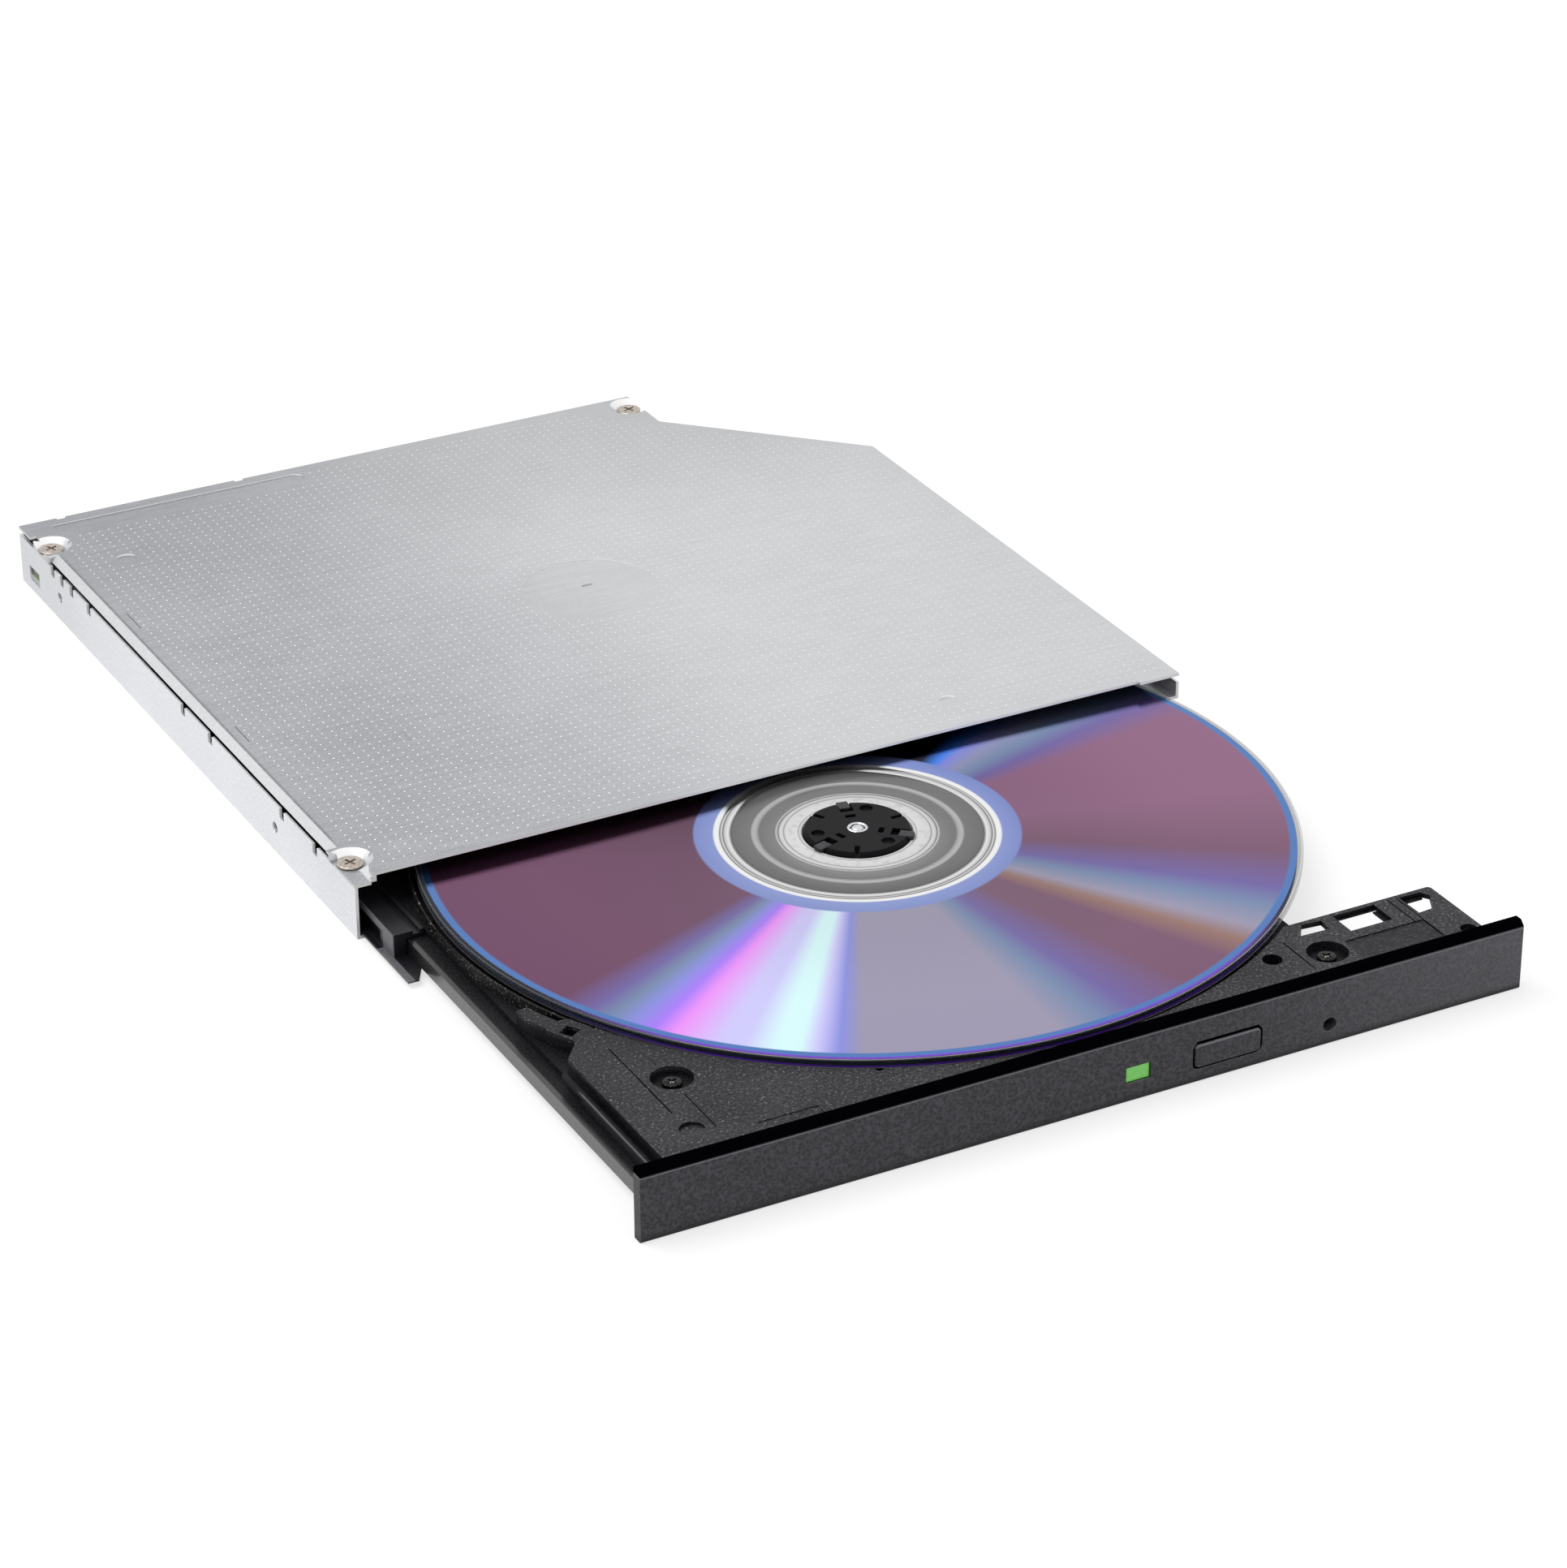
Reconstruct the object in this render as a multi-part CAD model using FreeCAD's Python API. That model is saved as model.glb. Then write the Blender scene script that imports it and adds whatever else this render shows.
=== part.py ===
import FreeCAD
import Part
import math
import os

Vector = FreeCAD.Vector

# A slim internal disc writer for a laptop, drawn with its tray most of the way out
# and a disc on the spindle. X is across the drive, Y points into it from the mouth,
# Z is up from the underside of the case. The origin is the middle of that underside.
# Tray pieces are drawn where they lie when the tray is shut and are then slid out.

# Case
case_width = 128.0
case_depth = 126.1
case_height = 9.0
shell_sheet = 0.45
cover_sheet = 0.4
wing_width = 16.0
wing_height = 4.0
wall_drop = 1.3
wall_notch_width = 1.5
wall_notch_shares = (0.107, 0.197, 0.4, 0.48, 0.772, 0.828, 0.86, 0.89)
wall_window_start = 7.6
wall_window_end = 3.5
wall_window_low = 1.7
wall_window_high = 4.0
wall_notch_depth = 1.4
cut_across = 25.0
cut_along = 24.6
screw_ear_depth = 11.2
fit_gap = 0.15
touch_gap = 0.05

# Cover
dish_radius = 3.1
dish_wall = 0.35
dish_floor_margin = 0.25
edge_setback = 0.6
corner_low_width = 2.0
corner_rise = 1.4
edge_tab_left = 2.4
edge_tab_right = 6.5
groove_width = 3.1
groove_depth = 0.2
groove_back = 3.65
groove_start = 4.4
groove_end = 43.65
moon_depth = 0.3
left_moon_inset = 10.2
left_moon_back = 18.5
left_moon_radius = 1.6
right_moon_inset = 33.0
right_moon_front = 8.45
right_moon_radius = 1.4
cover_flange_height = 0.5
centre_mark_radius = 10.0
centre_mark_depth = 0.1

# Screws
cover_screw_head_radius = 1.85
cover_screw_head_height = 0.35
cover_screw_shank_radius = 0.8
cover_screw_length = 1.9
lug_thickness = 0.5
lug_reach = 3.4
lug_length = 5.6
front_screw_depth = 5.85
rear_screw_back = 8.65
side_screw_inset = 1.9
ear_screw_inset = 1.5
ear_screw_back = 3.45

# Rear plug
plug_inset = 6.7
plug_width = 29.1
plug_floor = 1.1
plug_roof = 6.6

# Side mounting holes
mount_hole_radius = 0.8
mount_hole_front = 27.5
mount_hole_spacing = 82.2
mount_hole_height = 3.9

# Runners between case and tray
guide_web = 0.9
guide_tongue = 0.9
guide_height = 3.8
guide_lift = 0.65
tongue_height = 1.9
tongue_lift = 0.1
guide_setback = 3.0
guide_end_gap = 3.6
runner_width = 4.5
runner_wall = 1.85
runner_height = 3.75
runner_lift = 0.2
runner_roof = 0.95
runner_base = 0.35
runner_foot = 0.85
runner_length = 88.7
runner_setback = 32.3
runner_toe = 6.5
runner_groove_stop = 4.2
roof_groove_width = 1.0
roof_groove_depth = 0.5
roof_rib = 0.6

# Disc and spindle
disc_radius = 60.0
disc_thickness = 1.2
disc_bore_radius = 7.5
disc_seat = 5.7
disc_x = 2.7
disc_front_gap = 5.26
stack_ring_radius = 17.0
stack_ring_height = 0.15
hub_radius = 7.35
hub_stand = 0.7
turntable_radius = 14.6
turntable_thickness = 0.5
mat_width = 2.0
mat_thickness = 0.4
shaft_radius = 1.0
rotor_radius = 10.4
rotor_wall = 0.5
rotor_drop = 1.6
magnet_width = 0.7
stator_radius = 8.8
stator_teeth = 9
stator_thickness = 1.1
bearing_radius = 2.0
bearing_gap = 0.03
jaw_count = 3
jaw_first_angle = 78.0
jaw_nose_chamfer = 0.2
jaw_width = 1.6
jaw_height = 0.55
jaw_reach = 0.55
jaw_length = 2.1
jaw_window_inner = 4.7
hub_notch_turn = 43.0
hub_pocket_turn = 91.0
hub_hole_place = 3.3
hub_collar_width = 0.45

# Tray
tray_out = 81.65
rear_bay = 18.1
tray_skin = 1.2
deck_top = 6.3
deck_thickness = 0.9
recess_gap = 0.9
recess_drop = 0.8
recess_skin = 0.7
floor_clearance = 0.4
under_plate_thickness = 0.35
plate_inset = 29.85
ledge_drop = 2.1
ledge_start = 36.5
ledge_corner = 30.3
finger_end = 45.0
finger_gap = 1.5
finger_width = 2.3
eyelet_hole = 2.0
eyelet_angle = 206.3
eyelet_hole_turn = 32
strip_wall = 0.8
strip_height = 2.1
shelf_thickness = 0.8
right_strip_start = 26.0
lip_width = 0.6
lip_height = 1.9
lip_offset = 1.0
arm_reach = 1.5
arm_depth = 16.8
arm_thickness = 0.7
spindle_window_radius = 17.0
pickup_window_width = 16.0
tray_screw_sink_radius = 2.8
tray_screw_head_radius = 1.3
tray_screw_sink_depth = 1.1
left_sink_inset = 9.95
left_sink_back = 20.95
right_sink_inset = 0.85
right_sink_back = 8.55
guide_hole_inset = 8.25
guide_hole_back = 10.25
guide_hole_radius = 1.35
guide_tube_radius = 1.9
gate_hole_inset = 33.65
gate_hole_back = 10.6
gate_hole_radius = 0.55
deck_moon_inset = 6.65
deck_moon_back = 9.0
deck_moon_radius = 1.65
deck_moon_depth = 0.45
arm_sink = 0.15
boss_depth = 2.6

# Bezel and what it carries
bezel_width = 127.9
bezel_height = 10.06
bezel_thickness = 1.757
bezel_gap = 0.573
bezel_chamfer = 0.7
button_x = 18.9
button_width = 10.35
button_height = 3.85
button_middle = 3.85
button_gap = 0.3
button_proud = 0.2
button_travel = 0.4
window_corner = 0.9
lamp_x = 5.7
lamp_width = 3.6
lamp_height = 2.3
lamp_middle = 3.9
pin_hole_height = 2.9
pin_hole_radius = 1.0

# Traverse under the disc
traverse_angle = 235.0
chassis_thickness = 0.5
chassis_lift = 0.6
rod_radius = 0.8
rod_spread = 12.0
rod_start = 11.0
rod_end = 66.3
lens_start = 24.0
lens_travel = 34.0
sled_inner = 9.5
sled_outer = 6.0
sled_half_width = 14.0
sled_height = 2.3
lens_radius = 2.1
lens_holder_length = 9.0
lens_holder_width = 11.0
screw_offset = 15.6
screw_radius = 0.75
motor_radius = 1.42
motor_length = 9.0

# Places worked out from the sizes
left = -case_width / 2
right = case_width / 2
front = -case_depth / 2
rear = case_depth / 2
inner_left = left + shell_sheet
step_x = right - wing_width
inner_right = step_x - shell_sheet
mirror_x = (inner_left + inner_right) / 2
wing_under = case_height - wing_height
wing_top = wing_under + shell_sheet
wall_top = case_height - wall_drop
cover_under = case_height - cover_sheet
dish_depth = wall_drop - cover_sheet
flange_out = shell_sheet + touch_gap
disc_y = front + disc_front_gap + disc_radius
disc_top = disc_seat + disc_thickness
recess_radius = disc_radius + recess_gap
frame_under = shell_sheet + floor_clearance + under_plate_thickness
recess_top = disc_seat - recess_drop
recess_under = recess_top - recess_skin
runner_outer = inner_left + guide_web + fit_gap
runner_inner = runner_outer + runner_width
runner_bottom = shell_sheet + runner_lift
runner_top = runner_bottom + runner_height
tray_left = runner_inner + fit_gap
tray_right = 2 * mirror_x - tray_left
strip_left = runner_outer + runner_wall + fit_gap
shelf_top = runner_top - runner_roof - fit_gap
strip_bottom = shelf_top - strip_height
tray_front = front - bezel_gap
tray_rear = rear - rear_bay
bezel_back = tray_front
bezel_front = bezel_back - bezel_thickness
corner_slope = cut_along / cut_across
right_runner_end = rear - screw_ear_depth - cut_along + (right - inner_right) * corner_slope - 2 * shell_sheet
chassis_bottom = frame_under + chassis_lift
chassis_top = chassis_bottom + chassis_thickness
rod_z = chassis_top + rod_radius - 0.35


def block(x0, x1, y0, y1, z0, z1):
    """A rectangular solid between two corners."""
    return Part.makeBox(x1 - x0, y1 - y0, z1 - z0, Vector(x0, y0, z0))


def post(x, y, z0, z1, radius):
    """An upright round solid."""
    return Part.makeCylinder(radius, z1 - z0, Vector(x, y, z0))


def small_post(x, y, z0, z1, radius, sides=12):
    """A small round solid drawn with few sides, to keep the mesh light."""
    turn = 2 * math.pi / sides
    return prism([(x + radius * math.cos(k * turn), y + radius * math.sin(k * turn)) for k in range(sides)],
                 z0, z1)


def ring(x, y, z0, z1, inner, outer):
    """An upright tube."""
    return post(x, y, z0, z1, outer).cut(post(x, y, z0 - 1, z1 + 1, inner))


def prism(points, z0, z1):
    """A flat outline stood up between two heights."""
    corners = [Vector(x, y, z0) for x, y in points]
    outline = Part.makePolygon(corners + corners[:1])
    return Part.Face(outline).extrude(Vector(0, 0, z1 - z0))


def upright_prism(points, y0, y1):
    """Solid from an outline seen from the front, between two depths."""
    wire = Part.makePolygon([Vector(x, y0, z) for x, z in points + points[:1]])
    return Part.Face(wire).extrude(Vector(0, y1 - y0, 0))


def turned(profile, x, y):
    """A profile of radius and height, turned about an upright line."""
    corners = [Vector(radius, 0, z) for radius, z in profile]
    face = Part.Face(Part.makePolygon(corners + corners[:1]))
    solid = face.revolve(Vector(0, 0, 0), Vector(0, 0, 1), 360)
    solid.translate(Vector(x, y, 0))
    return solid


def rounded_window(x, z, width, height, corner, y0, y1):
    """A rectangle with round corners, pushed along Y."""
    solid = block(x - width / 2, x + width / 2, y0, y1, z - height / 2, z + height / 2)
    along = [e for e in solid.Edges if abs(e.tangentAt(e.FirstParameter).y) > 0.9]
    return solid.makeFillet(corner, along)


def all_of(solids):
    """One solid from several that meet."""
    return solids[0].fuse(solids[1:]).removeSplitter()


def mirrored(solid):
    """The same runner piece for the other side of the tray."""
    return solid.mirror(Vector(mirror_x, 0, 0), Vector(1, 0, 0))


def on_traverse(solid):
    """Move a piece from the traverse's own axes to its place under the disc."""
    solid.rotate(Vector(0, 0, 0), Vector(0, 0, 1), traverse_angle)
    solid.translate(Vector(disc_x, disc_y, 0))
    return solid


def half_moon(x, y, z, radius, depth):
    """Cutter for a pressed mark: deepest at its rear edge and level at its front."""
    slope = Vector(0, depth, 2 * radius)
    return Part.makeCylinder(radius, 2.0, Vector(x, y, z - depth / 2), slope)


def case_outline(inset):
    """Plan of the case: the rear right corner is cut off, with an ear for a screw."""
    slope = math.atan2(cut_along, cut_across)
    shift = inset * math.tan(slope / 2)
    rise = inset * math.tan((math.pi / 2 - slope) / 2)
    ear_x = right - cut_across - inset
    return [
        (left + inset, front + inset),
        (right - inset, front + inset),
        (right - inset, rear - screw_ear_depth - cut_along - rise),
        (ear_x + inset - shift, rear - screw_ear_depth - inset),
        (ear_x, rear - screw_ear_depth - inset),
        (ear_x, rear - inset),
        (left + inset, rear - inset),
    ]


def screw_places():
    """Where the cover is screwed down."""
    side_x = left + side_screw_inset
    return [
        (side_x, front + front_screw_depth),
        (side_x, rear - rear_screw_back),
        (right - cut_across - ear_screw_inset, rear - ear_screw_back),
    ]


# Case pieces

def bottom_case():
    """Folded steel tray of the case, with a thin wing under the disc's right edge."""
    outside = prism(case_outline(0), 0, wall_top)
    outside = outside.cut(block(step_x, right + 1, front - 1, rear + 1, -1, wing_under))
    inside = prism(case_outline(shell_sheet), shell_sheet, case_height)
    mouth = block(left + shell_sheet, right - shell_sheet, front - 1, front + 2, shell_sheet, case_height)
    inside = inside.fuse(mouth)
    inside = inside.cut(block(inner_right, right + 1, front - 2, rear + 1, -1, wing_top))
    shell = outside.cut(inside)
    cuts = []
    for share in wall_notch_shares:
        y = front + share * case_depth
        cuts.append(block(left - 1, inner_left + 1, y - wall_notch_width / 2, y + wall_notch_width / 2,
                          wall_top - wall_notch_depth, case_height))
    cuts.append(block(left - 1, inner_left + 1, rear - wall_window_start, rear - wall_window_end,
                      wall_window_low, wall_window_high))
    for step in range(2):
        y = front + mount_hole_front + step * mount_hole_spacing
        cuts.append(Part.makeCylinder(mount_hole_radius, 3, Vector(left - 1, y, mount_hole_height),
                                      Vector(1, 0, 0)))
    plug_left, plug_right, plug_low, plug_high = plug_window()
    cuts.append(block(plug_left, plug_right, rear - 2, rear + 1, plug_low, plug_high))
    shell = shell.cut(cuts)
    lugs = []
    for x, y in screw_places():
        if x < 0:
            lug = block(left + shell_sheet / 2, left + shell_sheet + lug_reach, y - lug_length / 2,
                        y + lug_length / 2,
                        wall_top - lug_thickness, wall_top)
        else:
            lug = block(x - lug_length / 2, x + lug_length / 2 - 1.2, y - lug_reach / 2, rear - shell_sheet / 2,
                        wall_top - lug_thickness, wall_top)
        lugs.append(lug)
    for x, y in board_screw_places():
        lugs.append(small_post(x, y, shell_sheet / 2, board_bottom, 2.0))
    shell = all_of([shell] + lugs)
    holes = [small_post(x, y, wall_top - 1.5, case_height, cover_screw_shank_radius) for x, y in screw_places()]
    holes += [small_post(x, y, 0.2, board_bottom + 1, board_screw_radius) for x, y in board_screw_places()]
    return shell.cut(holes)


def plug_window():
    """Opening in the rear wall for the plug: left, right, low and high edges."""
    return left + plug_inset, left + plug_inset + plug_width, plug_floor, plug_roof


def top_cover():
    """Pressed steel lid with a short flange, three screw dishes and pressed marks."""
    plate = prism(case_outline(0), cover_under, case_height)
    rim = prism(case_outline(flange_out), cover_under - cover_flange_height, cover_under + 0.1)
    rim = rim.cut(prism(case_outline(flange_out + cover_sheet), 0, case_height))
    rim = rim.cut(block(left, right, front - 1, front + 9.5, 0, cover_under))
    rim = rim.cut(block(left, right, rear - 6, rear + 1, 0, cover_under))
    for x, y in screw_places():
        rim = rim.cut(block(x - 4, x + 4, y - 4, y + 4, 0, cover_under))
    front_screw_y = screw_places()[0][1]
    low_right = left + corner_low_width
    bed = block(left, low_right + corner_rise, front, front_screw_y, cover_under - dish_depth,
                cover_under + 0.1)
    plate = all_of([plate, rim, bed])
    inside = prism(case_outline(0), 0, case_height + 1)
    for x, y in screw_places():
        cup = small_post(x, y, cover_under - dish_depth, cover_under + 0.1, dish_radius + dish_wall, 24)
        plate = plate.fuse(cup.common(inside)).removeSplitter()
        dish = Part.makeCone(cover_screw_head_radius + dish_floor_margin, dish_radius, dish_depth,
                             Vector(x, y, case_height - dish_depth))
        hole = small_post(x, y, cover_under - 2, case_height, cover_screw_shank_radius + 0.2)
        plate = plate.cut([dish, hole])
    corner = upright_prism([
        (left - 1, case_height - dish_depth), (low_right, case_height - dish_depth),
        (low_right + corner_rise, case_height), (low_right + corner_rise, case_height + 1), (left - 1,
                                                                                             case_height + 1),
    ], front - 1, front_screw_y)
    plate = plate.cut(corner)
    marks = [post(disc_x, disc_y, case_height - centre_mark_depth, case_height + 1, centre_mark_radius)]
    marks.append(block(disc_x - 0.9, disc_x + 0.7, disc_y + 1.1, disc_y + 1.6, cover_under - 1,
                       case_height + 1))
    groove_y = rear - groove_back
    groove_x0 = left + groove_start
    groove_x1 = left + groove_end
    groove_floor = case_height - groove_depth
    half = groove_width / 2
    groove = block(groove_x0, groove_x1, groove_y - half, groove_y + half, groove_floor, case_height + 1)
    marks.append(groove.fuse(post(groove_x1, groove_y, groove_floor, case_height + 1, half)))
    marks.append(half_moon(left + left_moon_inset, rear - left_moon_back, case_height, left_moon_radius,
                           moon_depth))
    marks.append(half_moon(right - right_moon_inset, front + right_moon_front, case_height, right_moon_radius,
                           moon_depth))
    marks.append(block(left + edge_tab_left, right - edge_tab_right, front - 1, front + edge_setback, 0,
                       case_height + 1))
    rear_screw_y = screw_places()[1][1]
    marks.append(block(left - 1, left + flange_out, front_screw_y + dish_radius + 0.5,
                       rear_screw_y - dish_radius - 0.5,
                       0, case_height + 1))
    for x in plug_window()[:2]:
        marks.append(block(x - 0.7, x + 0.7, rear - 0.5, rear + 1, cover_under - 1, case_height + 1))
    return plate.cut(marks)


def cover_screws():
    """Three flat-headed screws in the cover's dishes."""
    solids = []
    head_bottom = case_height - dish_depth
    for x, y in screw_places():
        head = small_post(x, y, head_bottom + 0.01, head_bottom + cover_screw_head_height,
                          cover_screw_head_radius, 24)
        shank = small_post(x, y, head_bottom - cover_screw_length, head_bottom + 0.1,
                           cover_screw_shank_radius - 0.03)
        solids.append(all_of([head, shank]))
    return Part.makeCompound(solids)


def guide_rail(y1):
    """Plastic guide fixed to the case wall, with a tongue for the sliding runner."""
    y0 = front + guide_setback
    tongue_front = front + runner_setback + runner_groove_stop + 1.0
    z0 = shell_sheet + guide_lift
    web_right = inner_left + guide_web
    web = block(inner_left, web_right, y0, y1, z0, z0 + guide_height)
    tongue_z = z0 + tongue_lift
    tongue = block(web_right - 0.1, web_right + guide_tongue, tongue_front, y1, tongue_z,
                   tongue_z + tongue_height)
    rail = all_of([web, tongue])
    holes = []
    for step in range(2):
        y = front + mount_hole_front + step * mount_hole_spacing
        reach = mount_hole_radius + 0.3
        holes.append(block(inner_left - 1, inner_left + 2, y - reach, y + reach, mount_hole_height - reach,
                           mount_hole_height + reach))
    for step in range(3):
        y = y0 + 20 + step * 26
        holes.append(block(inner_left - 1, inner_left + 0.4, y, y + 8, z0 - 1, z0 + guide_height - 1))
    return rail.cut(holes)


def runner(y1):
    """Sliding plastic runner: a channel that holds the tray's edge strip."""
    y0 = front + runner_setback
    wall_right = runner_outer + runner_wall
    wall = block(runner_outer, wall_right, y0, y1, runner_bottom, runner_top)
    roof = block(wall_right - 0.1, runner_inner, y0, y1, runner_top - runner_roof, runner_top)
    foot_left = runner_outer - runner_foot
    foot_right = runner_outer + 2.6
    foot = prism([
        (foot_left, y1), (foot_left, y0 - runner_toe), (foot_left + 1.6, y0 - runner_toe),
        (foot_right, y0 - runner_toe / 2), (foot_right, y1),
    ], runner_bottom, runner_bottom + runner_base)
    solid = all_of([wall, roof, foot])
    groove_z = shell_sheet + guide_lift + tongue_lift - fit_gap
    groove_x = inner_left + guide_web + guide_tongue + fit_gap
    groove = block(runner_outer - 1, groove_x, y0 + runner_groove_stop, y1 + 1,
                   groove_z, groove_z + tongue_height + 2 * fit_gap)
    top_left = runner_inner - roof_rib - roof_groove_width
    top_groove = block(top_left, runner_inner - roof_rib, y0 - 1, y1 + 1, runner_top - roof_groove_depth,
                       runner_top + 1)
    return solid.cut([groove, top_groove])


# Board at the rear of the case

board_bottom = shell_sheet + 0.75
board_thickness = 0.8
board_top = board_bottom + board_thickness
board_front = tray_rear + 1.4
board_rear = rear - shell_sheet - 0.8
board_left = inner_left + 8.5
board_right = right - cut_across - 3.0
board_screw_radius = 0.6


def board_screw_places():
    """Two screws hold the board down."""
    return [(board_right - 3.5, board_front + 3.5), (left + plug_inset + plug_width + 10.0, board_rear - 3.5)]


def main_board():
    """Printed board behind the tray."""
    board = block(board_left, board_right, board_front, board_rear, board_bottom, board_top)
    holes = [small_post(x, y, 0, case_height, board_screw_radius + 0.15) for x, y in board_screw_places()]
    return board.cut(holes)


def board_chips():
    """The controller, the motor driver, a memory chip and two capacitors."""
    x = (board_left + board_right) / 2
    y = (board_front + board_rear) / 2
    chips = [(6.5, 0, 10.0, 10.0, 1.0), (22.0, 0, 7.0, 7.0, 0.9), (32.5, 0, 6.0, 4.0, 0.8),
             (-13.0, -4.0, 3.0, 2.0, 1.2), (-3.0, 2.5, 3.0, 2.0, 1.2)]
    solids = []
    for across, along, width, length, height in chips:
        solids.append(block(x + across - width / 2, x + across + width / 2, y + along - length / 2,
                            y + along + length / 2, board_top, board_top + height))
    return Part.makeCompound(solids)


def board_screws():
    """Pan-head screws through the board into the case floor's posts."""
    solids = []
    for x, y in board_screw_places():
        head = small_post(x, y, board_top, board_top + 0.7, 1.5)
        shank = small_post(x, y, 0.3, board_top + 0.1, board_screw_radius - 0.03)
        solids.append(all_of([head, shank]))
    return Part.makeCompound(solids)


def rear_plug():
    """Slim data and power plug in the rear wall: a frame round two contact blades."""
    plug_left, plug_right, plug_low, plug_high = plug_window()
    x0 = plug_left + 0.1
    x1 = plug_right - 0.1
    z0 = board_top
    z1 = plug_high - 0.1
    y0 = board_rear - 5.5
    frame_wall = 0.8
    body = block(x0, x1, y0, rear, z0, z1)
    low = block(x0, x1, board_rear + 0.1, rear, plug_low + 0.1, z0 + 0.1)
    body = all_of([body, low])
    pocket = block(x0 + frame_wall, x1 - frame_wall, rear - 4.5, rear + 1, plug_low + 0.1 + frame_wall,
                   z1 - frame_wall)
    body = body.cut(pocket)
    middle = (plug_low + plug_high) / 2
    blade = 1.2
    gap_x = x0 + 0.56 * (x1 - x0)
    blades = [
        block(x0 + 2.2, gap_x - 1.0, rear - 5.0, rear - 0.6, middle - blade / 2, middle + blade / 2),
        block(gap_x + 1.0, x1 - 2.2, rear - 5.0, rear - 0.6, middle - blade / 2, middle + blade / 2),
    ]
    return all_of([body] + blades)


def catch_post():
    """Steel peg riveted to the case floor for the tray's latch."""
    x, y = catch_place()
    return post(x, y, shell_sheet, catch_top, catch_radius)


# Latch

catch_radius = 0.8
catch_top = shell_sheet + 1.9
catch_x = tray_right - 2.65
catch_depth = 6.6
latch_pivot_x = catch_x - 11.7
latch_pivot_depth = 4.5
latch_swing = 18.0
latch_bottom = frame_under + 0.15
latch_thickness = 0.9
latch_boss_radius = 1.8
latch_pin_radius = 0.8
latch_hook_bite = 1.0
pin_hole_x = latch_pivot_x + 6.8


def catch_place():
    """Where the peg stands."""
    return catch_x, front + catch_depth


def latch_pivot():
    """Where the latch turns on the tray when the tray is shut."""
    return latch_pivot_x, front + latch_pivot_depth


def latch_lever():
    """Hooked lever. It is drawn swung clear, as the open tray leaves it."""
    px, py = latch_pivot()
    cx, cy = catch_place()
    z0 = latch_bottom
    z1 = z0 + latch_thickness
    hook_front = cy + catch_radius + 0.1
    tip_x = cx - catch_radius + latch_hook_bite
    arm = prism([
        (px, py - 1.2), (px + 6.2, py - 1.4), (cx - catch_radius - 0.5, hook_front - 1.6),
        (cx - catch_radius - 0.5, hook_front), (tip_x, hook_front), (tip_x - 0.9, hook_front + 1.5),
        (px + 6.0, py + 1.6), (px, py + 1.4),
    ], z0, z1)
    tab = block(pin_hole_x - 1.1, pin_hole_x + 1.1, py - 1.35, py - 0.65, z0 + 0.1, pin_hole_height + 0.9)
    boss = small_post(px, py, z0, z1 + 0.6, latch_boss_radius)
    lever = all_of([arm, tab, boss])
    lever = lever.cut(post(px, py, z0 - 1, z1 + 2, latch_pin_radius + bearing_gap))
    lever.rotate(Vector(px, py, 0), Vector(0, 0, 1), latch_swing)
    return lever


def latch_spring():
    """Small coil above the latch, drawn as its closed outline."""
    px, py = latch_pivot()
    z0 = latch_bottom + latch_thickness + 0.7
    coil = small_post(px, py, z0, recess_under - 0.1, 1.45)
    return coil.cut(small_post(px, py, z0 - 1, recess_under, latch_pin_radius + 0.15))


def solenoid():
    """Pull magnet that frees the latch: a coil on a bobbin inside a bent frame."""
    x0 = latch_pivot_x - 15.0
    x1 = latch_pivot_x - 4.0
    y0 = front + 9.6
    y1 = y0 + 5.6
    z0 = frame_under + 0.1
    z1 = recess_under - 0.2
    frame = block(x0, x1, y0, y1, z0, z1)
    frame = frame.cut(block(x0 + 0.5, x1 - 0.5, y0 - 1, y1 - 0.5, z0 - 1, z1 + 1))
    middle = (y0 + y1) / 2 - 0.2
    radius = (z1 - z0) / 2 - 0.05
    coil = Part.makeCylinder(radius, x1 - x0 - 1.0, Vector(x0 + 0.5, middle, (z0 + z1) / 2), Vector(1, 0, 0))
    rod = block(x1 - 0.1, x1 + 2.1, middle - 0.6, middle + 0.6, (z0 + z1) / 2 - 0.6, (z0 + z1) / 2 + 0.6)
    return all_of([frame, coil, rod])


# Tray

def tray_screw_places():
    """Two screws in sinks of the deck, at the front left and the front right."""
    return [(tray_left + left_sink_inset, front + left_sink_back),
            (tray_right - right_sink_inset, front + right_sink_back)]


def round_slot(s0, s1, width, z0, z1):
    """A round-ended slot along the traverse, on the traverse's own axes."""
    half = width / 2
    middle = block(s0 + half, s1 - half, -half, half, z0, z1)
    ends = [post(s0 + half, 0, z0, z1, half), post(s1 - half, 0, z0, z1, half)]
    return all_of([middle] + ends)


def edge_strip(y0, y1):
    """The strip and shelf that run in a runner."""
    strip = block(strip_left, strip_left + strip_wall, y0, y1, strip_bottom, shelf_top)
    shelf = block(strip_left, tray_left + 0.2, y0, y1, shelf_top - shelf_thickness, shelf_top)
    return all_of([strip, shelf])


def eyelet_at(radius, degrees):
    """A place at this radius round the disc, this many degrees behind the eyelet at the end of the finger."""
    angle = math.radians(eyelet_angle - degrees)
    return disc_x + radius * math.cos(angle), disc_y + radius * math.sin(angle)


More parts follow.
